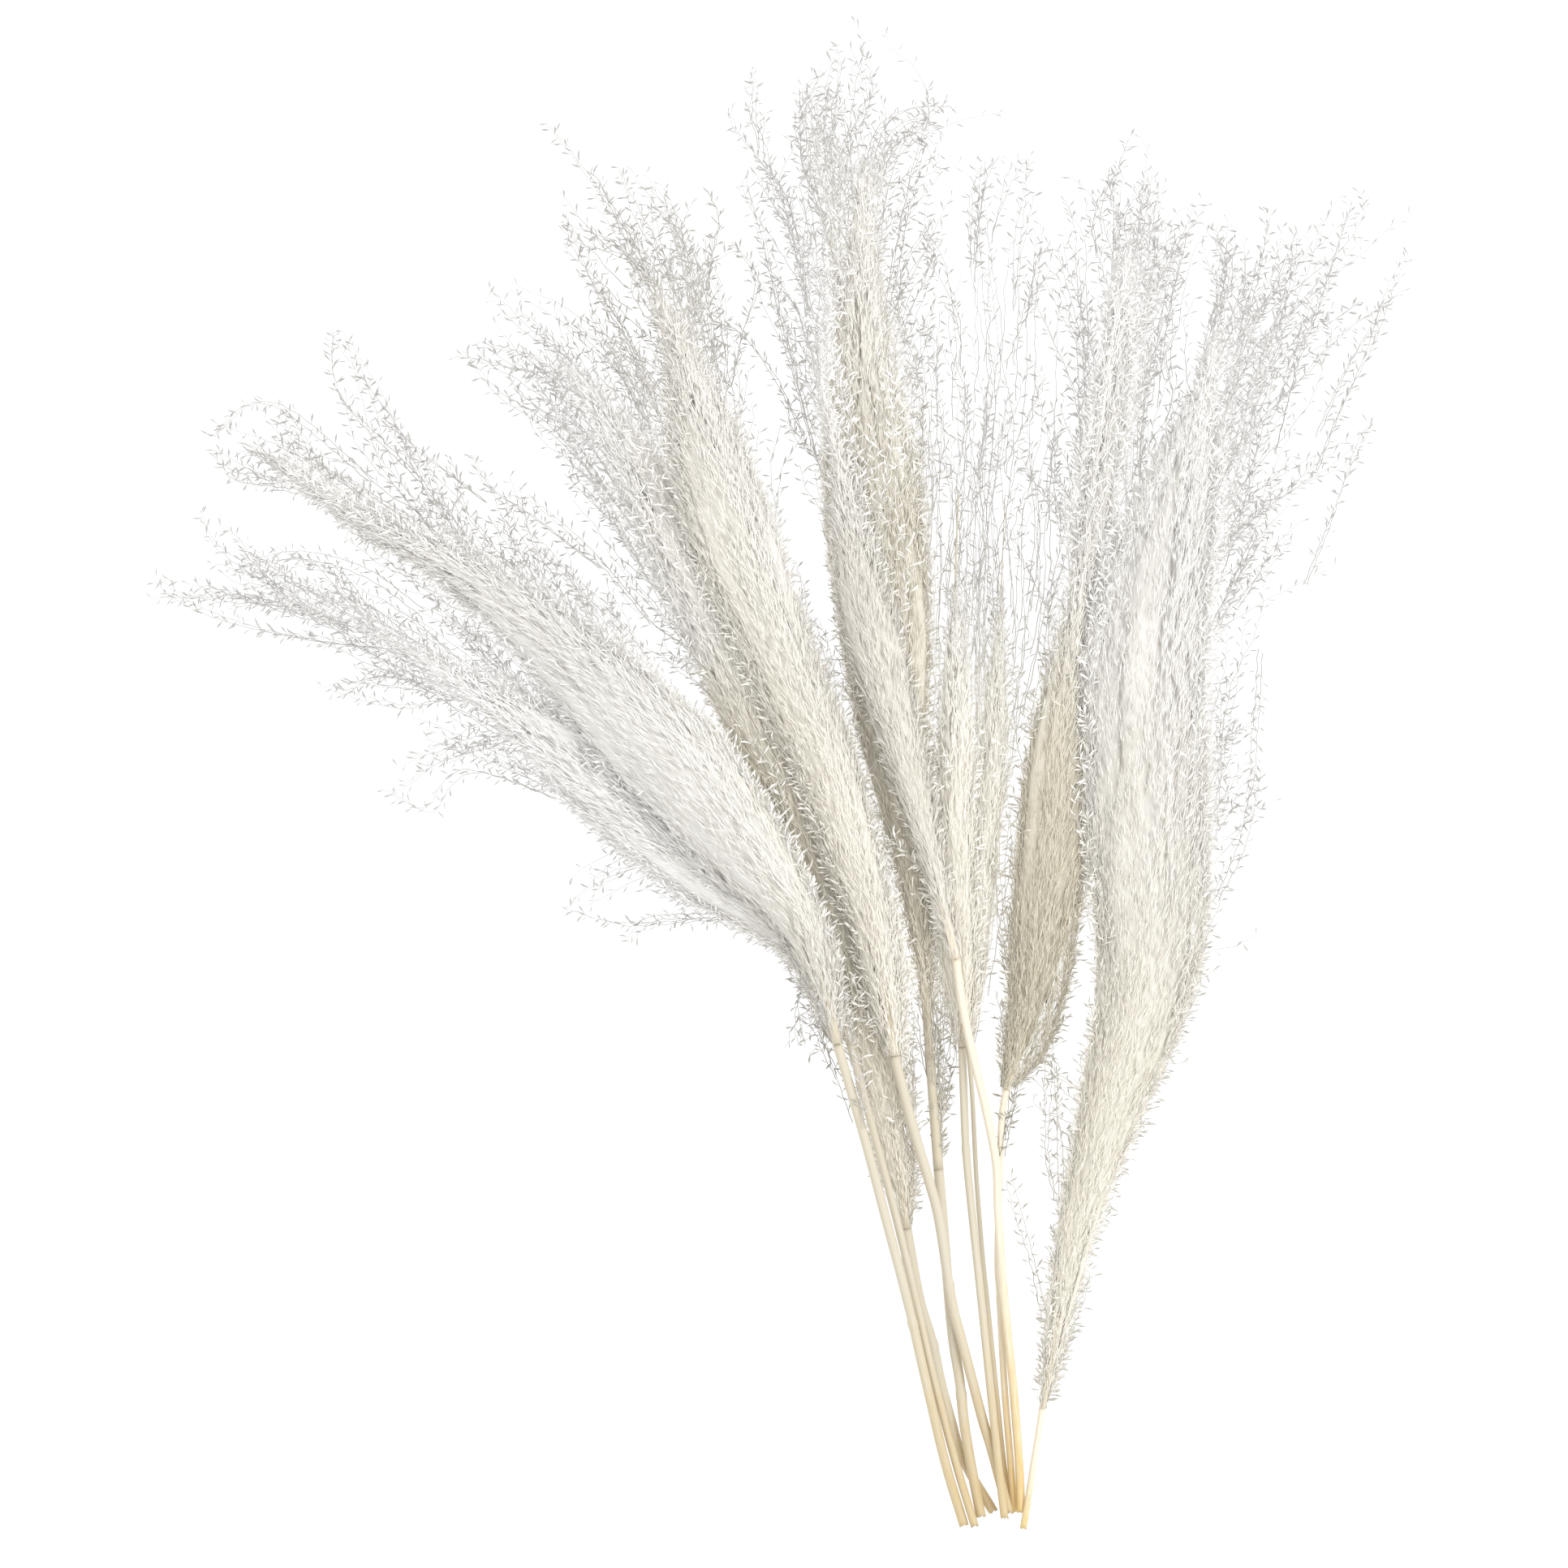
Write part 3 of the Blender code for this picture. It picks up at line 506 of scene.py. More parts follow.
class Flow:
    """A plume's middle line and its widths to the left and right of it, in millimetres."""

    STEPS = 240

    def __init__(self, number, reed):
        self.solid = Solid(f"plume_{number:02d}")
        curve = smooth_curve(reed.plume)
        self.length = distances(curve)[-1]
        line = even_steps(curve, self.STEPS)
        heights = self.solid.middle_and_half(line[:, :2])
        middle, half = [softened(height, HEIGHT_SOFTENING) for height in heights]
        self.line = np.column_stack([line[:, :2], middle])
        self.end = unit(self.line[-1] - self.line[-8])
        self.tall = np.maximum(half, THINNEST)
        self.loose = np.maximum(line[:, 2:4], NARROWEST)
        self.silk = np.maximum(line[:, 4:6], 0.0)
        self.sag = reed.sag * np.maximum(middle - self.tall, 0.0)
        self.ahead = unit(np.gradient(self.line, axis=0))
        self.side, _ = square_to(self.ahead, UP)
        up = np.linspace(0, 1, self.STEPS)
        # the warm colour, and the shade painted into the colour where plumes lie on each other, left and
        # right
        self.warm, self.dusk = [
            np.column_stack([np.interp(up, *np.array(rows, float).T[[0, k]]) for k in (1, 2)])
            for rows in (reed.warm, reed.dusk)]

    def at(self, column, share):
        """A column of the flow at shares of the way up. Past an end it stays as it is there."""
        where = np.clip(share, 0, 1) * (self.STEPS - 1)
        low = np.minimum(where.astype(int), self.STEPS - 2)
        part = where - low
        if column.ndim > 1:
            part = part[..., None]
        return column[low] * (1 - part) + column[low + 1] * part

    def offset(self, widths, share, across):
        """Side offsets in millimetres for across from -1 (left) to 1 (right) of some widths."""
        both = self.at(widths, share)
        return across * np.where(across < 0, both[..., 0], both[..., 1])

    def place(self, share, side, above):
        """The point at a share of the way up, a side offset in mm and a height in half heights."""
        middle = self.at(self.line, share)
        past = np.maximum(share - 1, 0)[..., None] * self.length * self.end
        loose = self.at(self.loose, share)
        out = side / np.where(side < 0, loose[..., 0], loose[..., 1])
        sunk = self.at(self.sag, share) * np.minimum(out ** 2, MOST_SAG)
        lift = self.at(self.tall, share) * above - sunk
        return middle + past + side[..., None] * self.at(self.side, share) + lift[..., None] * UP

    def nearest(self, points):
        """The nearest step of the plume for each point, seen from above."""
        found = np.empty(len(points), int)
        for first in range(0, len(points), BATCH):
            gap = points[first:first + BATCH, None, :2] - self.line[None, ::EVERY, :2]
            found[first:first + BATCH] = np.argmin((gap ** 2).sum(axis=2), axis=1) * EVERY
        return found

    def colour(self, column, points):
        """The amount of a colour at points in space: blends from its left to its right side."""
        step = self.nearest(points)
        out = ((points - self.line[step]) * self.side[step]).sum(axis=1)
        wide = np.where(out < 0, self.loose[step, 0], self.loose[step, 1])
        right = blend(-0.9, 0.9, out / wide)
        return column[step, 0] * (1 - right) + column[step, 1] * right


FLOWS = {number: Flow(number, reed) for number, reed in REEDS.items()}
for number, flow in FLOWS.items():
    print(f"plume {number}: {flow.length:.0f} mm long, {flow.line[:, 2].max():.0f} mm high at most")

# %% [markdown]
# ## One mesh from many small shapes
#
# A bmesh could be built face by face, but a million faces would take minutes. A `Fluff` gathers whole
# arrays of points and triangles instead, and makes one object of them. Every point also carries
# numbers for the material: "warm", how far its colour is from white; "dusk", how far on to a
# darker, duller one, which paints in shade; "fade", how grey it is, which on lone hairs is painted
# shade as well; and "tone", a random shade for each hair. The silk and the stems are shaded smooth.
# The tiny husks are shaded flat: with smooth shading their normals would stand far off their faces,
# and they would turn dark. What would sink into the table is eased up to lie just over it.

# %% Gather shapes into one mesh
FLOOR = 0.3     # mm over the table: nothing lies lower
SOFT = 2.0      # mm: what comes this near is eased up


def tube_pattern(rings, sides):
    """Triangles for a closed tube of rings of points: its wall, and a fan over each end."""
    pattern = []
    for low in range(0, (rings - 1) * sides, sides):
        up = low + sides
        for k in range(sides):
            j = (k + 1) % sides
            pattern += [(low + k, low + j, up + j), (low + k, up + j, up + k)]
    end = (rings - 1) * sides
    for k in range(1, sides - 1):
        pattern += [(0, k + 1, k), (end, end + k, end + k + 1)]
    return pattern


class Fluff:
    """Points in millimetres and triangles, gathered before they become one mesh."""

    def __init__(self):
        self.points, self.triangles, self.fade, self.tone = [], [], [], []
        self.count = 0

    def add(self, points, pattern, fade, tone):
        """Add N copies of a small shape: points (N, K, 3), and one pattern of triangles on K."""
        copies, corners = points.shape[:2]
        first = self.count + np.arange(copies)[:, None, None] * corners
        self.triangles.append((first + np.asarray(pattern)[None]).reshape(-1, 3))
        self.points.append(points.reshape(-1, 3))
        self.fade.append(np.broadcast_to(fade, (copies, corners)).reshape(-1))
        self.tone.append(np.broadcast_to(tone, (copies, corners)).reshape(-1))
        self.count += copies * corners

    def add_tubes(self, rings, fade, tone):
        """Add closed tubes from their rings of points: (tubes, rings, sides, 3)."""
        tubes, stops, sides = rings.shape[:3]
        fade, tone = [np.broadcast_to(v, rings.shape[:3]).reshape(tubes, -1) for v in (fade, tone)]
        self.add(rings.reshape(tubes, -1, 3), tube_pattern(stops, sides), fade, tone)

    def to_object(self, name, flow=None, smooth=True):
        """Make the object, in metres, in the frame's own place."""
        points = np.vstack(self.points)
        warm = flow.colour(flow.warm, points) if flow else np.zeros(len(points))
        # shade painted into the colour, for each point, from the plume that it belongs to
        dusk = flow.colour(flow.dusk, points) if flow else np.zeros(len(points))
        points[:, :2] -= PLAN_MIDDLE
        low = points[:, 2] < FLOOR + SOFT
        points[low, 2] = FLOOR + SOFT * np.exp((points[low, 2] - FLOOR - SOFT) / SOFT)
        triangles = np.vstack(self.triangles).astype(np.int32)
        mesh = bpy.data.meshes.new(name)
        mesh.vertices.add(len(points))
        mesh.vertices.foreach_set("co", (points * MM).astype(np.float32).ravel())
        mesh.loops.add(triangles.size)
        mesh.loops.foreach_set("vertex_index", triangles.ravel())
        mesh.polygons.add(len(triangles))
        mesh.polygons.foreach_set("loop_start", np.arange(0, triangles.size, 3, dtype=np.int32))
        for label, values in (("fade", self.fade), ("tone", self.tone), ("warm", [warm]),
                              ("dusk", [dusk])):
            layer = mesh.attributes.new(label, "FLOAT", "POINT")
            layer.data.foreach_set("value", np.concatenate(values).astype(np.float32))
        mesh.update(calc_edges=True)
        if smooth:
            mesh.shade_smooth()
        else:
            mesh.shade_flat()
        piece = bpy.data.objects.new(name, mesh)
        bpy.context.collection.objects.link(piece)
        return piece


def points_in(coats):
    """How many points some coats of fluff have in all."""
    return sum(coat.count for coat in coats.values())


print("triangles in a tube of 5 rings of 8 points:", len(tube_pattern(5, 8)))

# %% [markdown]
# ## The three small shapes
#
# Up close a plume is made of three things. A thread is a thin stalk, here a three-sided tube. A hair
# is a flat blade: four points folded along the middle, so two triangles. A spikelet is a plump
# pointed husk: also four points, but closed all round. Round shapes would look no better at this size,
# and would take ten times the triangles. Each is made for thousands of places at once.

# %% Threads
THREAD_SIDES = 3


def threads(fluff, paths, radius, fade, tone):
    """Thin tubes along paths (B, P, 3), with one corner on top."""
    side, over = square_to(unit(np.gradient(paths, axis=1)))
    turn = np.arange(THREAD_SIDES) * math.tau / THREAD_SIDES + math.pi / 2
    ring = turned(side[:, :, None], over[:, :, None], turn)
    fluff.add_tubes(paths[:, :, None] + radius[..., None, None] * ring, fade, tone[..., None])


print("triangles in a thread of 15 points:", len(tube_pattern(15, THREAD_SIDES)))

# %% Hairs
HAIR_PATTERN = ((0, 1, 3), (0, 3, 2))
HAIR_WAIST = 0.4
HAIR_FOLD = -0.3


def hairs(fluff, base, heading, outward, length, width, tone, rng):
    """Folded blades with their upper face outwards. Every argument has one row for each hair."""
    flat = turned(*square_to(heading, outward), rng.uniform(-0.8, 0.8, len(base)))
    fold = np.cross(heading, flat) * width[:, None] * HAIR_FOLD
    waist = base + heading * length[:, None] * HAIR_WAIST + fold
    half = flat * width[:, None] / 2
    points = np.stack([base, waist + half, waist - half, base + heading * length[:, None]], axis=1)
    fluff.add(points, HAIR_PATTERN, 0.0, tone[:, None])


print("triangles in a hair:", len(HAIR_PATTERN))

# %% Spikelets
SPIKELET_PATTERN = ((0, 1, 3), (0, 3, 2), (0, 2, 1), (1, 2, 3))
SPIKELET_WAIST = 0.6
SPIKELET_BELLY = 0.45


def spikelets(fluff, base, heading, length, width, tone, rng):
    """Closed pointed husks on a thin neck, fattest at the waist."""
    flat = turned(*square_to(heading), rng.uniform(0, math.tau, len(base)))
    belly = np.cross(heading, flat) * width[:, None] * SPIKELET_BELLY
    middle = base + heading * length[:, None] * SPIKELET_WAIST + belly
    half = flat * width[:, None] / 2
    tip = base + heading * length[:, None]
    points = np.stack([base, middle + half, middle - half, tip], axis=1)
    fluff.add(points, SPIKELET_PATTERN, 0.0, tone[:, None])


print("triangles in a spikelet:", len(SPIKELET_PATTERN))

# %% [markdown]
# ## Along a branch
#
# Spikelets sit on branches, and a dry branch is never quite straight. Noise could bend the finished
# mesh, but it would twist the spikelets too. So a branch is bent while it is still a row of points.
# `along` finds points on many branches at once, `lean` turns a direction away from the branch, `drift`
# lets branches wander in soft waves, and `kink` bends them a little at each of their points, first to
# one side, then to the other.

# %% Points and bends of branches
def along(paths, t):
    """Points and directions on paths (B, P, 3) at t (B, M), from 0 at the root to 1."""
    runs = paths.shape[1] - 1
    where = np.clip(t, 0, 0.9999) * runs
    low = where.astype(int)
    part = (where - low)[..., None]
    rows = np.arange(len(paths))[:, None]
    a, b = paths[rows, low], paths[rows, low + 1]
    return a + (b - a) * part, unit(b - a)


def lean(ahead, turn, angle):
    """Directions tilted by an angle from ahead, towards a turn round it (0 is level)."""
    return unit(turned(ahead, turned(*square_to(ahead), turn), angle))


def drift(count, stops, size, waves, rng):
    """Shifts (count, stops, 3) for paths that wander in soft waves, more towards the tip."""
    t = np.linspace(0, 1, stops)[None, :]
    shift = np.zeros((count, stops, 3))
    for axis, share in ((0, 1.0), (1, 0.6), (2, 0.5)):
        for wave in waves:
            phase = rng.uniform(0, math.tau, (count, 1))
            swing = rng.normal(0, size * share / wave, (count, 1))
            shift[:, :, axis] += swing * (np.sin(math.tau * wave * t + phase) - np.sin(phase)) * t
    return shift


def kink(paths, size, rng):
    """Zigzag: every other stop moves to the other side."""
    side, _ = square_to(unit(np.gradient(paths, axis=1)))
    hand = np.where(np.arange(paths.shape[1]) % 2 == 0, 1.0, -1.0)[None, :, None]
    amount = rng.uniform(0.3, 1.0, (len(paths), 1, 1)) * size
    amount = amount * np.where(rng.uniform(0, 1, (len(paths), 1, 1)) < 0.5, 1, -1)
    return paths + side * hand * amount


CHANCE = {number: np.random.default_rng(10 + number) for number in REEDS}
print("one source of chance for each of", len(CHANCE), "plumes, the same in every run")

# %% [markdown]
# ## Silk
#
# Low down, a plume is so dense that no single hair can be told from the next: it looks like silk
# combed into locks. Real hairs there would cost a million triangles and not be seen. A wide, flat body
# with many tapering locks laid over it looks the same, and the hairs only have to break up its surface
# and its edge. The locks end one by one where the plume opens.

# %% The silk
SILK_SIDES = 10
SILK_STOPS = 26
SILK_LOCKS = 30
OUTERMOST_LOCK = 0.68   # of the way out to the silk's edge
LOCK_WIDTH = (0.16, 0.3)
LOCK_HEIGHT = (0.22, 0.4)
BODY_WIDTH = 0.82
BODY_HEIGHT = 0.75


def grow_silk(flow, rng):
    """One broad body and many tapering locks in the dense part of a plume."""
    dense = np.nonzero(flow.silk.sum(axis=1) > 2)[0] / (flow.STEPS - 1)
    first, last = dense.min(), dense.max()
    span = last - first
    start = first + span * np.concatenate([[0], rng.uniform(0, 0.75, SILK_LOCKS) ** 1.4])
    end = start + span * np.concatenate([[1], rng.uniform(0.3, 0.6, SILK_LOCKS)])
    end = np.minimum(end, last + 0.02)
    row = np.linspace(-OUTERMOST_LOCK, OUTERMOST_LOCK, SILK_LOCKS)
    across = np.concatenate([[0], rng.permutation(row)])
    above = np.concatenate([[0], rng.uniform(-0.2, 0.55, SILK_LOCKS)]) * np.sqrt(1 - across ** 2)
    broad = np.concatenate([[BODY_WIDTH], rng.uniform(*LOCK_WIDTH, SILK_LOCKS)])
    high = np.concatenate([[BODY_HEIGHT], rng.uniform(*LOCK_HEIGHT, SILK_LOCKS)])
    t = np.linspace(0, 1, SILK_STOPS)
    share = start[:, None] + (end - start)[:, None] * t
    taper = np.sqrt(blend(0, 0.35, t)) * blend(1.02, 0.35, t)
    bend = drift(len(start), SILK_STOPS, 1.5, (1, 2), rng)[..., 0] * (across != 0)[:, None]
    turn = np.arange(SILK_SIDES) * math.tau / SILK_SIDES
    grid = np.broadcast_to(share[:, :, None], (*share.shape, SILK_SIDES))
    swell = taper[:, None] * np.cos(turn)
    side = flow.offset(flow.silk, grid, across[:, None, None] + broad[:, None, None] * swell)
    lift = above[:, None, None] + high[:, None, None] * taper[:, None] * np.sin(turn)
    silk = Fluff()
    shade = rng.uniform(0, 1, (len(start), 1, 1))
    silk.add_tubes(flow.place(grid, side + bend[:, :, None], lift), shade, shade)
    return silk


SILKS = {number: grow_silk(flow, CHANCE[number]) for number, flow in FLOWS.items()}
print("points of silk:", points_in(SILKS))

# %% [markdown]
# ## Fur
#
# Each spikelet in the silk carries a few long hairs. They could be sown one by one, but then they look
# like a brush. So the fur is sown in clusters: one small husk, and hairs that fan out from its foot.
# They lie along the plume and lean a little outwards, so they show as short strokes on the plume and
# as a crisp, short-haired edge at its sides. From one cluster to the next the place turns by the
# golden share of a circle, which spreads them evenly, as a real stalk spreads its branches.

# %% Fur
FUR_HAIRS = 6
GOLDEN = 0.618          # the golden share of a full turn
FUR_DEPTH = (0.9, 1.02)
FUR_LEAN = (0.02, 0.24)
FUR_WANDER = 0.12       # how far a cluster points away from the flow
FUR_SPLAY = 0.16        # and a hair from its cluster
FUR_FOOT = 0.8          # mm: how far apart the hairs of a cluster start
TURNED_UP = 0.6         # of the clusters that would lie under the plume, where nobody sees them
FUR_HUSK_LENGTH = (3.2, 4.6)
FUR_HUSK_WIDTH = (0.5, 0.8)
HAIR_LENGTH = (5, 10)
HAIR_WIDTH = (0.22, 0.42)


def sow(flow, weight, count, rng):
    """Shares of the way up a plume: even ones, drawn closer where the weight is greater."""
    chance = np.cumsum(weight) / np.sum(weight)
    even = (rng.permutation(count) + rng.uniform(0, 1, count)) / count
    return np.interp(even, chance, np.linspace(0, 1, flow.STEPS))


def grow_fur(flow, count, rng):
    """Clusters of one husk and a few silky hairs, spread evenly over the silk."""
    fur = Fluff()
    share = np.sort(sow(flow, flow.silk.sum(axis=1), count, rng))
    turn = math.tau * (np.arange(count) * GOLDEN % 1) + rng.normal(0, 0.1, count)
    low_side = (np.sin(turn) < -0.2) & (rng.uniform(0, 1, count) < TURNED_UP)
    turn = np.where(low_side, -turn, turn)
    depth = rng.uniform(*FUR_DEPTH, count)
    root = flow.place(share, flow.offset(flow.silk, share, depth * np.cos(turn)),
                      depth * np.sin(turn) * 0.85)
    side = flow.offset(flow.silk, share, np.cos(turn))[:, None] * flow.at(flow.side, share)
    tall = (flow.at(flow.tall, share) * np.sin(turn))[:, None] * UP
    outward = unit(side + tall)
    leaning = turned(unit(flow.at(flow.ahead, share)), outward, rng.uniform(*FUR_LEAN, count))
    heading = unit(leaning + rng.normal(0, FUR_WANDER, (count, 3)))
    spikelets(fur, root, heading, rng.uniform(*FUR_HUSK_LENGTH, count),
              rng.uniform(*FUR_HUSK_WIDTH, count), rng.uniform(0, 1, count), rng)
    for _ in range(FUR_HAIRS):
        splay = unit(heading + rng.normal(0, FUR_SPLAY, (count, 3)))
        foot = root + rng.normal(0, FUR_FOOT, (count, 3))
        hairs(fur, foot, splay, outward, rng.uniform(*HAIR_LENGTH, count),
              rng.uniform(*HAIR_WIDTH, count), rng.uniform(0, 1, count), rng)
    return fur


FURS = {number: grow_fur(FLOWS[number], reed.fur, CHANCE[number]) for number, reed in REEDS.items()}
print("points of fur:", points_in(FURS))

# %% [markdown]
# ## Racemes
#
# Above and around the fur, the branches stand free. A botanist calls one a raceme: a thread that
# leaves the middle stalk at a narrow angle, runs up with the flow, and carries spikelets to alternate
# sides. Evenly scattered racemes look like a mist. Real ones keep together in feathers of a few, with
# gaps between them, so they are grown in fours. `dress` draws the threads and hangs the spikelets.

# %% Dress branches with spikelets
SPIKELET_SPACING = 4.0
SPIKELET_LENGTH = (4.4, 6.6)
SPIKELET_WIDTH = (0.8, 1.2)
THREAD_RADIUS = 0.2
THREAD_FADE = 0.4       # threads are always a little grey


def dress(fluff, paths, per_path, rng, bare=0.1):
    """Draw the threads, and hang spikelets on them, to alternate sides."""
    count, stops = paths.shape[:2]
    taper = THREAD_RADIUS * (1.3 - 0.7 * np.linspace(0, 1, stops)[None])
    threads(fluff, paths, taper, THREAD_FADE, rng.uniform(0.4, 0.9, (count, 1)))
    at = (np.arange(per_path) + rng.uniform(0.1, 0.9, (count, per_path))) / per_path
    base, ahead = along(paths, bare + (1 - bare) * at)
    hand = np.where(np.arange(per_path) % 2 == 0, 0.0, math.pi)[None]
    roll = hand + rng.normal(0, 0.6, at.shape)
    heading = lean(ahead, roll, np.abs(rng.normal(0.85, 0.3, at.shape)))
    length = rng.uniform(*SPIKELET_LENGTH, at.shape)
    width = rng.uniform(*SPIKELET_WIDTH, at.shape)
    tone = rng.uniform(0, 1, at.shape)
    flat = [a.reshape(-1, *a.shape[2:]) for a in (base, heading, length, width, tone)]
    spikelets(fluff, *flat, rng)


print("spikelets on 100 mm of branch:", int(100 / SPIKELET_SPACING))

# %% Racemes
FEATHER = 4                         # racemes that keep together
TRIES = 4                           # places drawn for a feather, since most are inside the silk
LENGTH_SHARES = (0.3, 0.4, 0.3)     # how many racemes have each of the three lengths
STOP_SPACING = 10                   # mm from one point of a raceme to the next
CLEAR_OF_SILK = 0.8                 # how far out, against the silk's edge, a feather is clear of it
OVER_SILK = 0.07                    # the chance that a feather may lie over the silk


def grow_racemes(fluff, flow, reed, rng):
    """Feathers of racemes all the way up the plume, in three lengths, few of them over the silk."""
    for part, reach in zip(LENGTH_SHARES, reed.reach):
        feathers = int(reed.racemes * part / FEATHER)
        tries = feathers * TRIES
        top = sow(flow, flow.loose.sum(axis=1), tries, rng)
        out = rng.uniform(-1, 1, tries)
        silk_edge = flow.offset(flow.silk + 0.1, top, np.sign(out))
        clear = flow.offset(flow.loose, top, out) / silk_edge > CLEAR_OF_SILK
        free = clear | (rng.uniform(0, 1, tries) < OVER_SILK)
        lead = np.repeat(np.nonzero(free)[0][:feathers], FEATHER)
        count = len(lead)
        stops = int(reach / STOP_SPACING) + 3
        size = reach * rng.uniform(0.8, 1.2, count) / flow.length
        tip = np.maximum(top[lead] + rng.normal(0, 0.035, count), size)
        start = tip - size
        across = out[lead] + rng.normal(0, reed.scatter, count)
        room = np.sqrt(np.maximum(0.1, 1 - np.abs(across) ** 2))
        above = (rng.uniform(-0.7, 1, tries)[lead] + rng.normal(0, 0.15, count)) * room
        t = np.linspace(0, 1, stops)[None]
        share = start[:, None] + (tip - start)[:, None] * t
        first = rng.uniform(*reed.gathered, tries)[lead][:, None]
        opening = first + (1 - first) * t ** 0.8
        side = flow.offset(flow.loose, share, across[:, None] * opening)
        paths = flow.place(share, side, above[:, None] * opening)
        paths += drift(tries, stops, 0.02 * reach + 1, (0.5, 1, 2), rng)[lead]
        paths += drift(count, stops, 1.0, (1, 2), rng)
        spikes = int(reach * (1 - reed.bare) / SPIKELET_SPACING)
        dress(fluff, kink(paths, 0.5, rng), spikes, rng, reed.bare)


SPRAYS = {number: Fluff() for number in REEDS}
for number, reed in REEDS.items():
    grow_racemes(SPRAYS[number], FLOWS[number], reed, CHANCE[number])
print("points of racemes:", points_in(SPRAYS))

# %% [markdown]
# ## The ragged edge
#
# Where the silk ends at its sides, the tips of short racemes stand out like the teeth of a comb. A
# rough bump could hint at them, but it would leave the outline smooth. So they are real branches,
# which start just inside the silk's edge and leave it at a narrow angle.

# %% The edge
EDGE_STOPS = 5
EDGE_LENGTH = (8, 20)
EDGE_SPIKELETS = 5
FUR_PER_TOOTH = 8


def grow_edges(fluff, flow, count, rng):
    """Short racemes along both edges of the silk."""
    share = sow(flow, flow.silk.sum(axis=1) > 3, count, rng)
    hand = np.where(rng.uniform(0, 1, count) < 0.5, -1.0, 1.0)[:, None]
    size = rng.uniform(*EDGE_LENGTH, count)
    t = np.linspace(0, 1, EDGE_STOPS)[None]
    run = share[:, None] + size[:, None] * t / flow.length
    size = size * np.minimum(1, 0.3 + flow.at(flow.silk.sum(axis=1), share) / 25)
    leave = rng.uniform(0.0, 0.4, count)[:, None] * size[:, None] * t ** 1.3
    side = hand * (flow.offset(flow.silk, run, hand) * hand * 0.85 + leave)
    above = rng.uniform(-0.3, 0.5, count)[:, None] * np.ones_like(t)
    paths = flow.place(run, side, above) + drift(count, EDGE_STOPS, 0.8, (1, 2), rng)
    dress(fluff, kink(paths, 0.4, rng), EDGE_SPIKELETS, rng, bare=0.3)


for number, reed in REEDS.items():
    grow_edges(SPRAYS[number], FLOWS[number], reed.fur // FUR_PER_TOOTH, CHANCE[number])
print("points with the edges:", points_in(SPRAYS))

# %% [markdown]
# ## Sprays and strays
#
# A few large sprays give each plume its outline. Chance would put them in other places than the photo
# does, so they start where the frame's solids have their locks: each lock gets a bundle of branches,
# bent out of the flow. The strays are single threads that stand out against the ground.

# %% Sprays and strays
SPRAY_STOPS = 15
SPRAY_BEND = 0.45    # a spray follows the plume for this share of its own length
SPRAY_SPREAD = 0.035
STRAY_STEP = 5       # mm
TIP_GUESS = 4.0      # mm: about how high the solid lies at the tip of a lock,
STRAY_GUESS = 6.0    # and along a stray


def grow_locks(fluff, flow, reed, rng):
    """A bundle of branches along each lock."""
    count = reed.branches
    for root, tip in reed.locks:
        nearest = np.argmin(np.hypot(*(flow.line[:, :2] - root).T))
        begin = flow.line[nearest]
        ahead = unit(flow.ahead[nearest])
        end = np.array((*tip, flow.solid.height_near(*tip, TIP_GUESS)))
        gap = np.linalg.norm(end[:2] - begin[:2])
        forward = np.sign(np.dot(ahead[:2], end[:2] - begin[:2]))
        bend = begin + ahead * gap * SPRAY_BEND * forward
        t = np.linspace(0, 1, SPRAY_STOPS)[None, :, None]
        wide = SPRAY_SPREAD * gap
        spread = rng.normal(0, 1, (count, 1, 3)) * (wide, wide, 1.5)
        back = rng.uniform(0.0, 0.35, (count, 1, 1))
        ends = end + spread * 0.8 + (bend - end) * back
        starts = begin + rng.normal(0, 1, (count, 1, 3)) * (2, 2, 1)
        bends = bend + spread
        paths = (1 - t) ** 2 * starts + 2 * t * (1 - t) * bends + t ** 2 * ends
        paths = kink(paths + drift(*paths.shape[:2], 3.0, (0.5, 1, 2), rng), 0.5, rng)
        dress(fluff, paths, max(6, int(gap / SPIKELET_SPACING)), rng)


def grow_strays(fluff, flow, reed, rng):
    """Single threads along listed points, each with a companion near it."""
    for points in reed.strays:
        curve = smooth_curve(points[::-1])
        length = distances(curve)[-1]
        plan = even_steps(curve, int(length / STRAY_STEP) + 3)
        z = softened([flow.solid.height_near(x, y, STRAY_GUESS) for x, y in plan], 2)
        paths = np.repeat(np.column_stack([plan, z])[None], 2, axis=0)
        paths[1:] += rng.normal(0, 2.2, (1, 1, 3)) * (1, 1, 0.4)
        paths = kink(paths + drift(*paths.shape[:2], 1.0, (1, 2), rng), 0.4, rng)
        dress(fluff, paths, max(5, int(length / SPIKELET_SPACING)), rng)


for number, reed in REEDS.items():
    grow_locks(SPRAYS[number], FLOWS[number], reed, CHANCE[number])
    grow_strays(SPRAYS[number], FLOWS[number], reed, CHANCE[number])
print("points with the sprays and strays:", points_in(SPRAYS))

# %% [markdown]
# ## Lonely and crowded hairs
#
# In a thick plume the light passes from hair to hair, so it glows white. A hair that stands alone
# against the table looks pale grey. Fully see-through hairs would take very long to render. So the
# fluff is counted on a grid from above, and "fade" is set from how much lies over and under each point:
# lone hairs get that grey as painted shade, and crowded ones keep their white.

# %% Count the crowd
CELL = 4.0          # mm
LONELY = 0.6        # layers: a hair with fewer round it is as grey as can be
CROWDED = 5.0       # layers: a hair with more is as white as can be
GRID = np.arange(-400, 400 + CELL, CELL)


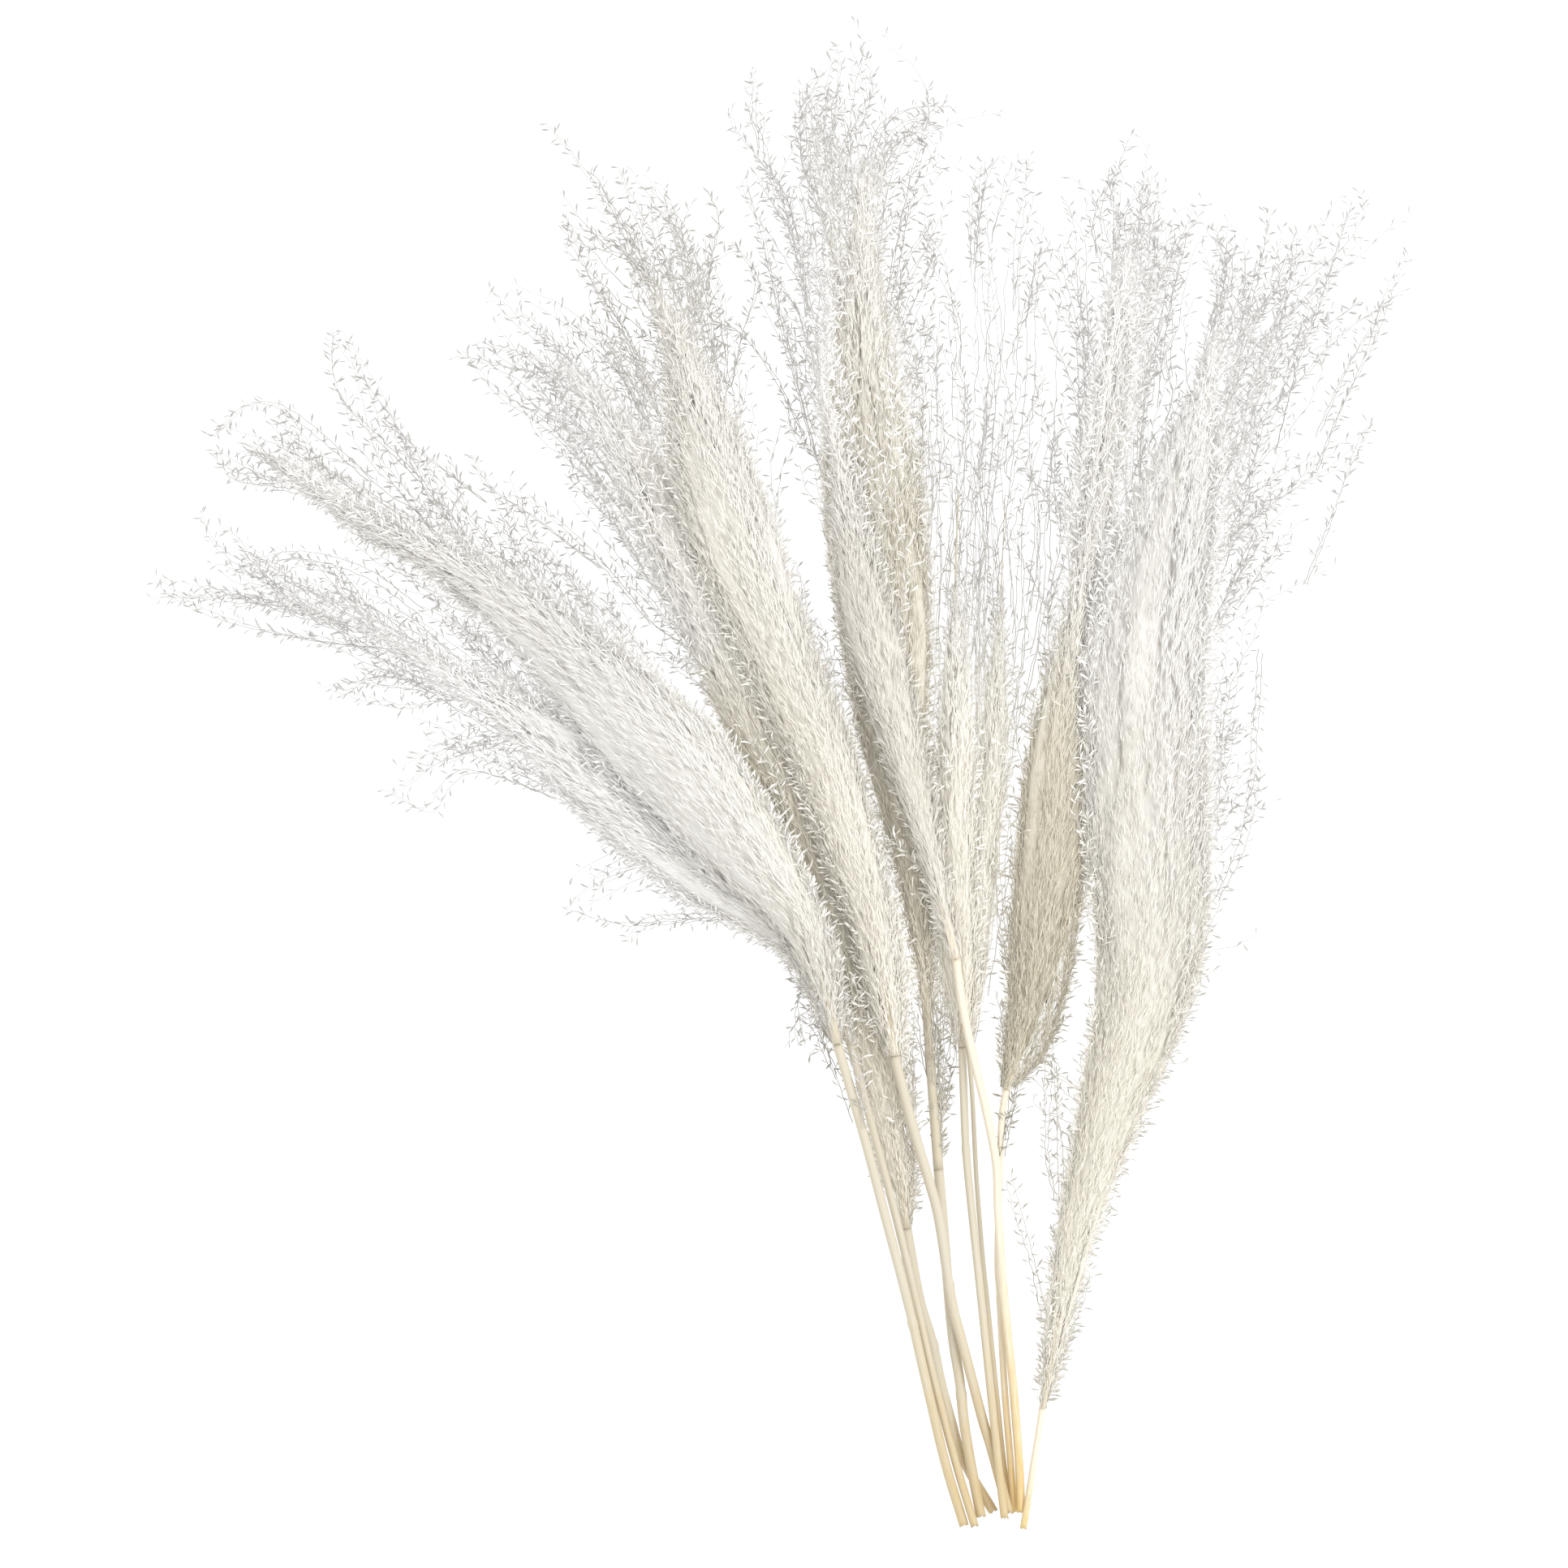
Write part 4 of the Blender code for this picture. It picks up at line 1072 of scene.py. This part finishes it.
def crowd_map(coats):
    """How many layers of fluff cover each grid cell, softened a little."""
    cover = 0
    for coat in coats:
        corners = np.vstack(coat.points)[np.vstack(coat.triangles)]
        one, two = corners[:, 1] - corners[:, 0], corners[:, 2] - corners[:, 0]
        area = np.abs(one[:, 0] * two[:, 1] - one[:, 1] * two[:, 0]) / 2
        middle = corners.mean(axis=1)
        cover = cover + np.histogram2d(middle[:, 0], middle[:, 1], (GRID, GRID), weights=area)[0]
    cover = cover / CELL ** 2
    for axis in (0, 1):
        cover = (np.roll(cover, 1, axis) + 2 * cover + np.roll(cover, -1, axis)) / 4
    return cover


def paint_shade_by_crowd(coat, crowd):
    """Paint shade, as grey, on hairs that stand alone, and leave crowded ones white."""
    points = np.vstack(coat.points)
    column, row = ((points[:, :2] - GRID[0]) / CELL).astype(int).T
    lonely = 1 - blend(LONELY, CROWDED, crowd[column, row])
    coat.fade = [np.maximum(lonely, np.concatenate(coat.fade))]


CROWD = crowd_map([*SILKS.values(), *FURS.values(), *SPRAYS.values()])
for coat in (*FURS.values(), *SPRAYS.values()):
    paint_shade_by_crowd(coat, CROWD)
print(f"thickest cover: {CROWD.max():.1f}, thin cells: {np.mean(CROWD[CROWD > 0] < CROWDED):.0%}")

# %% [markdown]
# ## Finishes for the fluff
#
# Bleached fluff is matt, pale, and lets some light through. A translucent shader could be mixed in,
# but hairs this thin then pass their light on to the table, and the plume turns dull. So the surface
# is plain and matt, and its colour does the work: from white to warm by the "warm" numbers, on to the
# dull one by "dusk", a shade painted into the colour, greyer by "fade", painted shade on
# lone hairs, and a little different from hair to hair by "tone". The sprays are the lightest. The silk
# is painted darker, for the shade inside a dense plume, and the fur lighter than the silk, to make up
# for the shade between its own hairs.

# %% Small helpers for shader nodes
def node(tree, kind, **settings):
    """Add a shader node with some of its settings."""
    made = tree.nodes.new(kind)
    for key, value in settings.items():
        setattr(made, key, value)
    return made


def feed(socket, value):
    """Set a socket to a number or a colour, or join it to another node's result."""
    if isinstance(value, bpy.types.NodeSocket):
        socket.id_data.links.new(value, socket)
    else:
        socket.default_value = (*value, 1) if isinstance(value, tuple) else value


def read(tree, label):
    """The number that every point carries under a label."""
    return node(tree, "ShaderNodeAttribute", attribute_name=label).outputs["Fac"]


def mixed(tree, factor, one, other, how="MIX"):
    """One colour mixed with another."""
    made = node(tree, "ShaderNodeMix", data_type="RGBA", blend_type=how)
    for label, value in (("Factor", factor), ("A", one), ("B", other)):
        feed(made.inputs[label], value)
    return made.outputs["Result"]


def ranged(tree, value, low, high, new_low, new_high):
    """A number moved from one range to another."""
    made = node(tree, "ShaderNodeMapRange")
    for label, end in (("Value", value), ("From Min", low), ("From Max", high),
                       ("To Min", new_low), ("To Max", new_high)):
        feed(made.inputs[label], end)
    return made.outputs["Result"]


def counted(tree, how, one, other):
    """Two numbers added or multiplied."""
    made = node(tree, "ShaderNodeMath", operation=how)
    feed(made.inputs[0], one)
    feed(made.inputs[1], other)
    return made.outputs["Value"]


def finish(name, roughness, specular):
    """A new material and its surface, equally rough all over."""
    made = bpy.data.materials.new(name)
    made.use_nodes = True
    surface = made.node_tree.nodes["Principled BSDF"]
    surface.inputs["Roughness"].default_value = roughness
    surface.inputs["Specular IOR Level"].default_value = specular
    return made, surface


print("helpers for materials:", *(made.__name__ for made in (node, feed, read, mixed, ranged, counted)))

# %% Fluff materials
# each finish: its white, its warm colour, and the dull colour that paints in shade
FLUFF = {
    "white": ((0.975, 0.966, 0.952), (0.975, 0.945, 0.86), (0.79, 0.762, 0.715)),
    "cream": ((0.975, 0.966, 0.952), (0.97, 0.94, 0.87), (0.79, 0.755, 0.69)),
    "beige": ((0.975, 0.966, 0.952), (0.94, 0.905, 0.825), (0.77, 0.732, 0.645)),
}
# the silk is darker than the sprays: painted shade for the inside of a dense plume
SILK = {
    "white": ((0.81, 0.802, 0.788), (0.81, 0.787, 0.705), (0.65, 0.625, 0.575)),
    "cream": ((0.81, 0.802, 0.788), (0.81, 0.784, 0.705), (0.64, 0.607, 0.53)),
    "beige": ((0.81, 0.802, 0.788), (0.76, 0.725, 0.625), (0.63, 0.593, 0.495)),
}
# the fur is painted lighter than the silk, to make up for the shade between its hairs
FUR_GAIN = 1.18


def fluff_material(name, white, warm, dusk, lonely, contrast):
    """Matt fluff, its colour mixed by the numbers that its points carry."""
    made, surface = finish(name, roughness=0.85, specular=0.2)
    tree = made.node_tree
    hue = mixed(tree, read(tree, "warm"), white, warm)
    # shade painted into the colour: towards the dull one where plumes lie on each other
    dull = mixed(tree, read(tree, "dusk"), hue, dusk)
    # lone hairs are painted greyer by "fade": a painted shade
    pale_grey = (lonely, lonely * 0.99, lonely * 0.97)
    grey = mixed(tree, read(tree, "fade"), dull, pale_grey, "MULTIPLY")
    shade = ranged(tree, read(tree, "tone"), 0.0, 1.0, 1 - contrast, 1.0)
    feed(surface.inputs["Base Color"], mixed(tree, 1.0, grey, shade, "MULTIPLY"))
    return made


SPRAY_COAT, FUR_COAT, SILK_COAT = {}, {}, {}
for shade in FLUFF:
    lighter = [tuple(channel * FUR_GAIN for channel in colour) for colour in SILK[shade]]
    SPRAY_COAT[shade] = fluff_material(f"{shade}_spray", *FLUFF[shade], 0.52, 0.02)
    SILK_COAT[shade] = fluff_material(f"{shade}_silk", *SILK[shade], 0.96, 0.03)
    FUR_COAT[shade] = fluff_material(f"{shade}_fur", *lighter, 0.7, 0.03)
print("fluff materials:", 3 * len(FLUFF))

# %% [markdown]
# ## Straw
#
# The stem of a reed is polished straw: fine grain runs along it, and it turns yellow and darker
# towards the cut end. A picture of straw would need unwrapping, and would blur from near by. So the
# grain is noise, stretched along the stem by two numbers that its points carry: "fade", how near the
# cut end, and "tone", how far round the stem. The stalk inside a plume has the same finish.

# %% Straw material
STRAW_COLOURS = {
    "straw": ((0.61, 0.572, 0.475), (0.58, 0.44, 0.22)),
    "golden_straw": ((0.80, 0.75, 0.65), (0.70, 0.50, 0.18)),
}
GRAIN_SCALE = 6.0
GRAIN_DETAIL = 4.0
GRAIN_STRETCH = 2.0
GRAIN_HEIGHT = 0.3      # mm


def straw_material(name, light, dark):
    """Dry straw: long fine grain, darker and yellower towards the cut end."""
    made, surface = finish(name, roughness=0.5, specular=0.35)
    tree = made.node_tree
    near_cut = read(tree, "fade")
    place = node(tree, "ShaderNodeCombineXYZ")
    feed(place.inputs["X"], read(tree, "tone"))
    feed(place.inputs["Y"], counted(tree, "MULTIPLY", near_cut, GRAIN_STRETCH))
    grain = node(tree, "ShaderNodeTexNoise")
    feed(grain.inputs["Vector"], place.outputs["Vector"])
    feed(grain.inputs["Scale"], GRAIN_SCALE)
    feed(grain.inputs["Detail"], GRAIN_DETAIL)
    streaks = ranged(tree, grain.outputs["Fac"], 0.25, 0.75, -0.2, 0.45)
    ramp = node(tree, "ShaderNodeValToRGB")
    ramp.color_ramp.elements[0].color = (*light, 1)
    ramp.color_ramp.elements[1].color = (*dark, 1)
    feed(ramp.inputs["Fac"], counted(tree, "ADD", streaks, near_cut))
    feed(surface.inputs["Base Color"], ramp.outputs["Color"])
    bump = node(tree, "ShaderNodeBump")
    feed(bump.inputs["Strength"], 0.15)
    feed(bump.inputs["Distance"], GRAIN_HEIGHT * MM)
    feed(bump.inputs["Height"], grain.outputs["Fac"])
    feed(surface.inputs["Normal"], bump.outputs["Normal"])
    return made


STRAW = {name: straw_material(name, *pair) for name, pair in STRAW_COLOURS.items()}
print("straw materials:", *STRAW)

# %% [markdown]
# ## The stalks inside the plumes
#
# The stem runs on up the middle of its plume, thinner and thinner, and shows where the fluff is thin.
# A curve with a bevel would make it, and lose the numbers that its finish reads. So the stalk, and
# later the stem, are rings of points round the route.

# %% The stalk inside a plume
STALK_SHARE = 0.62
STALK_STOPS = 60
STALK_SIDES = 8
SLACK = 0.97            # of the solid's radius, so that the straw stays inside it


def rings_round(line, radius, sides):
    """Rings of points round a line. The radius has a row for each ring."""
    side, over = square_to(unit(np.gradient(line, axis=0)), UP)
    turn = np.arange(sides) * math.tau / sides
    return line[:, None] + radius[..., None] * turned(side[:, None], over[:, None], turn)


def round_it(sides):
    """The number that the grain reads, for each side of a tube."""
    return np.abs(np.linspace(-1, 1, sides))


def grow_stalk(number, flow, reed):
    """The stem's own end, running on up the middle of the plume."""
    share = np.linspace(0, STALK_SHARE, STALK_STOPS)
    radius = reed.radius * SLACK * (1 - share / STALK_SHARE * 0.85)
    rings = rings_round(flow.at(flow.line, share), radius[:, None], STALK_SIDES)
    stalk = Fluff()
    stalk.add_tubes(rings[None], 0.1, round_it(STALK_SIDES))
    return stalk.to_object(f"plume_{number:02d}_stalk")


def settle(piece, coat, node_name):
    """Give a piece its finish, attach it to the body that it rides on, and hide the solid that it stands
    for.
    """
    piece.data.materials.append(coat)
    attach(piece, "root")
    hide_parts(node_name)


print(f"thickest stalk: {2 * SLACK * max(reed.radius for reed in REEDS.values()):.1f} mm")

# %% [markdown]
# ## Put the ten plumes together
#
# Each plume is four pieces: its silk, its stalk, the fur on it and the sprays that stand free. They
# could be one mesh, but separate pieces keep their own finish, and are easier to look at one by one.
# All four stand for the same solid of the frame and ride on the bunch's one body.

# %% Make the plumes
total = 0
for number, reed in REEDS.items():
    flow = FLOWS[number]
    name = f"plume_{number:02d}"
    stalk = grow_stalk(number, flow, reed)
    silk = SILKS[number].to_object(f"{name}_silk", flow)
    fur = FURS[number].to_object(f"{name}_fur", flow, smooth=False)
    spray = SPRAYS[number].to_object(f"{name}_sprays", flow, smooth=False)
    settle(silk, SILK_COAT[reed.fluff], name)
    settle(stalk, STRAW[reed.straw], name)
    settle(fur, FUR_COAT[reed.fluff], name)
    settle(spray, SPRAY_COAT[reed.fluff], name)
    sizes = [len(piece.data.polygons) for piece in (silk, stalk, fur, spray)]
    total += sum(sizes)
    print(f"{name}: silk {sizes[0]}, stalk {sizes[1]}, fur {sizes[2]}, sprays {sizes[3]} triangles")
print("triangles so far:", total)

# %% [markdown]
# ## The stems
#
# A reed's stem is a smooth hollow straw, slightly oval, with a low ring at each joint and a rough
# open end where it was cut. A cylinder could be bent along a curve, and the ring and the hollow added
# later. Rings of points have it all at once: they swell at the joint, and the last ones turn inwards
# at the cut.

# %% Sweep the stems
STEM_SIDES = 16
STEM_STEP = 2.5
STEM_SEED = 110
STEM_SOFTENING = 6      # steps of the stem to each side
OVAL = 0.04             # how far from round the stem is, as a share of its radius
DENTS = 0.012           # the same, for its small dents
JOINT_RING = 0.35       # mm: how far the ring stands out
RING_REACH = 1.3        # mm along the stem
JOINT_WAIST = 0.12      # mm: how far the stem narrows above it
WAIST_ABOVE = 4         # mm from the ring
WAIST_REACH = 3.0       # mm along the stem
WALL = 0.35             # the wall's share of the radius, at the cut
WELL_DEPTH = 4.0        # mm: how deep the hollow goes
WELL_ROUGHNESS = 0.12   # mm: how uneven its edge is
CUT_ROUGHNESS = 0.35    # mm: and how uneven the cut


def grow_stem(number, reed, rng):
    """A straw tube from the cut end to the plume's foot."""
    curve = smooth_curve(reed.stem + [reed.plume[0][:2]])
    length = distances(curve)[-1]
    rings = int(length / STEM_STEP)
    plan = even_steps(curve, rings)
    height, _ = Solid(f"stem_{number:02d}").middle_and_half(plan)
    line = np.column_stack([plan, softened(height, STEM_SOFTENING)])
    share = np.linspace(0, 1, rings)
    radius = np.full(rings, reed.radius * SLACK)
    if reed.joint is not None:
        away = (share - reed.joint) * length
        radius += JOINT_RING * np.exp(-(away / RING_REACH) ** 2)
        radius -= JOINT_WAIST * np.exp(-((away - WAIST_ABOVE) / WAIST_REACH) ** 2)
    turn = np.arange(STEM_SIDES) * math.tau / STEM_SIDES
    oval = 1 + OVAL * np.cos(2 * turn + rng.uniform(0, math.tau))
    oval = oval + rng.normal(0, DENTS, STEM_SIDES)
    points = rings_round(line, radius[:, None] * oval, STEM_SIDES)
    into = unit(line[1] - line[0])
    inward = (line[0] - points[0]) * WALL
    rim = points[0] + inward + rng.normal(0, WELL_ROUGHNESS, (STEM_SIDES, 3))
    points = np.vstack([(rim + into * WELL_DEPTH)[None], rim[None], points])
    points[1:3] += rng.normal(0, CUT_ROUGHNESS, STEM_SIDES)[:, None] * into
    stem = Fluff()
    up = np.concatenate([[0, 0], share])[:, None]
    stem.add_tubes(points[None], blend(0.6, -0.1, up) * 0.75, round_it(STEM_SIDES))
    return stem.to_object(f"stem_{number:02d}_straw")


for number, reed in REEDS.items():
    stem = grow_stem(number, reed, np.random.default_rng(STEM_SEED + number))
    settle(stem, STRAW[reed.straw], f"stem_{number:02d}")
    total += len(stem.data.polygons)
print("triangles with the stems:", total)

# %% [markdown]
# ## The table
#
# The photo is a bright cut-out on white. A white floor alone would turn grey wherever a plume shades
# it. So the table also gives a light of its own, like a light table, and lifts the plumes' undersides.

# %% Table
FLOOR_SIZE = 6.0
FLOOR_THICKNESS = 0.02
FLOOR_GAP = 0.0002

bpy.ops.mesh.primitive_cube_add(size=1)
floor = bpy.context.object
floor.name = "table_top"
floor.dimensions = (FLOOR_SIZE, FLOOR_SIZE, FLOOR_THICKNESS)
floor.location.z = -FLOOR_THICKNESS / 2 - FLOOR_GAP
bpy.ops.object.transform_apply(scale=True)
paper, paper_surface = finish("white_table", roughness=0.9, specular=0.5)
paper_surface.inputs["Base Color"].default_value = (0.15, 0.15, 0.15, 1)
paper_surface.inputs["Emission Color"].default_value = (1, 1, 1, 1)
paper_surface.inputs["Emission Strength"].default_value = 0.98
floor.data.materials.append(paper)
floor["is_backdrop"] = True
print("table laid:", FLOOR_SIZE, "m wide")

# %% [markdown]
# ## The light
#
# Fluff looks soft only in soft light. Small lamps would make every hair throw a hard shadow. So the
# sky is an even white, and one broad lamp, high on the right, models the round of the plumes.

# %% Light
SKY_STRENGTH = 1.08
LAMP_PLACE = (1.6, 0.8, 2.4)
LAMP_SIZE = 1.6
LAMP_POWER = 42

world = bpy.data.worlds.new("soft_white")
bpy.context.scene.world = world
world.use_nodes = True
world.node_tree.nodes["Background"].inputs["Color"].default_value = (1, 1, 1, 1)
world.node_tree.nodes["Background"].inputs["Strength"].default_value = SKY_STRENGTH

key = bpy.data.lights.new("key", "AREA")
key.size = LAMP_SIZE
key.energy = LAMP_POWER
lamp = bpy.data.objects.new("key", key)
lamp.location = LAMP_PLACE
lamp.rotation_euler = (-Vector(LAMP_PLACE)).to_track_quat("-Z", "Y").to_euler()
bpy.context.collection.objects.link(lamp)
bpy.context.scene.view_settings.view_transform = "Standard"
print("lamp:", LAMP_POWER, "W, facing the bunch")

# %% [markdown]
# ## The camera
#
# The bunch lies down, so the camera looks straight down on it, and the plumes fan out in its frame as
# they do in the photo. A short lens close by would spread the outer plumes. So it hangs far above,
# and the long lens is worked out from the width that the photo covers.

# %% Camera
PHOTO_PIXELS = 1932
MM_PER_PIXEL = 0.384
CAMERA_HEIGHT = 4.0
SENSOR = 36.0

photo_width = PHOTO_PIXELS * MM_PER_PIXEL * MM
lens = bpy.data.cameras.new("camera")
lens.sensor_width = SENSOR
lens.lens = SENSOR * CAMERA_HEIGHT / photo_width
camera = bpy.data.objects.new("camera", lens)
camera.location = (-PLAN_MIDDLE[0] * MM, -PLAN_MIDDLE[1] * MM, CAMERA_HEIGHT)
bpy.context.collection.objects.link(camera)
bpy.context.scene.camera = camera
print(f"lens {lens.lens:.0f} mm")

# %% [markdown]
# ## The sizes of the frame and the bunch
#
# The dressed bunch has to be as big as the frame that it stands for. Both boxes are measured and
# printed.

# %% Print the sizes
SIZES = {
    "frame": [list(corner) for corner in FRAME_BOX],
    "visual": [list(corner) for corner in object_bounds()],
}
for label, (low, high) in SIZES.items():
    print(label, "box:", *(f"{(b - a) / MM:.0f}" for a, b in zip(low, high)), "mm")
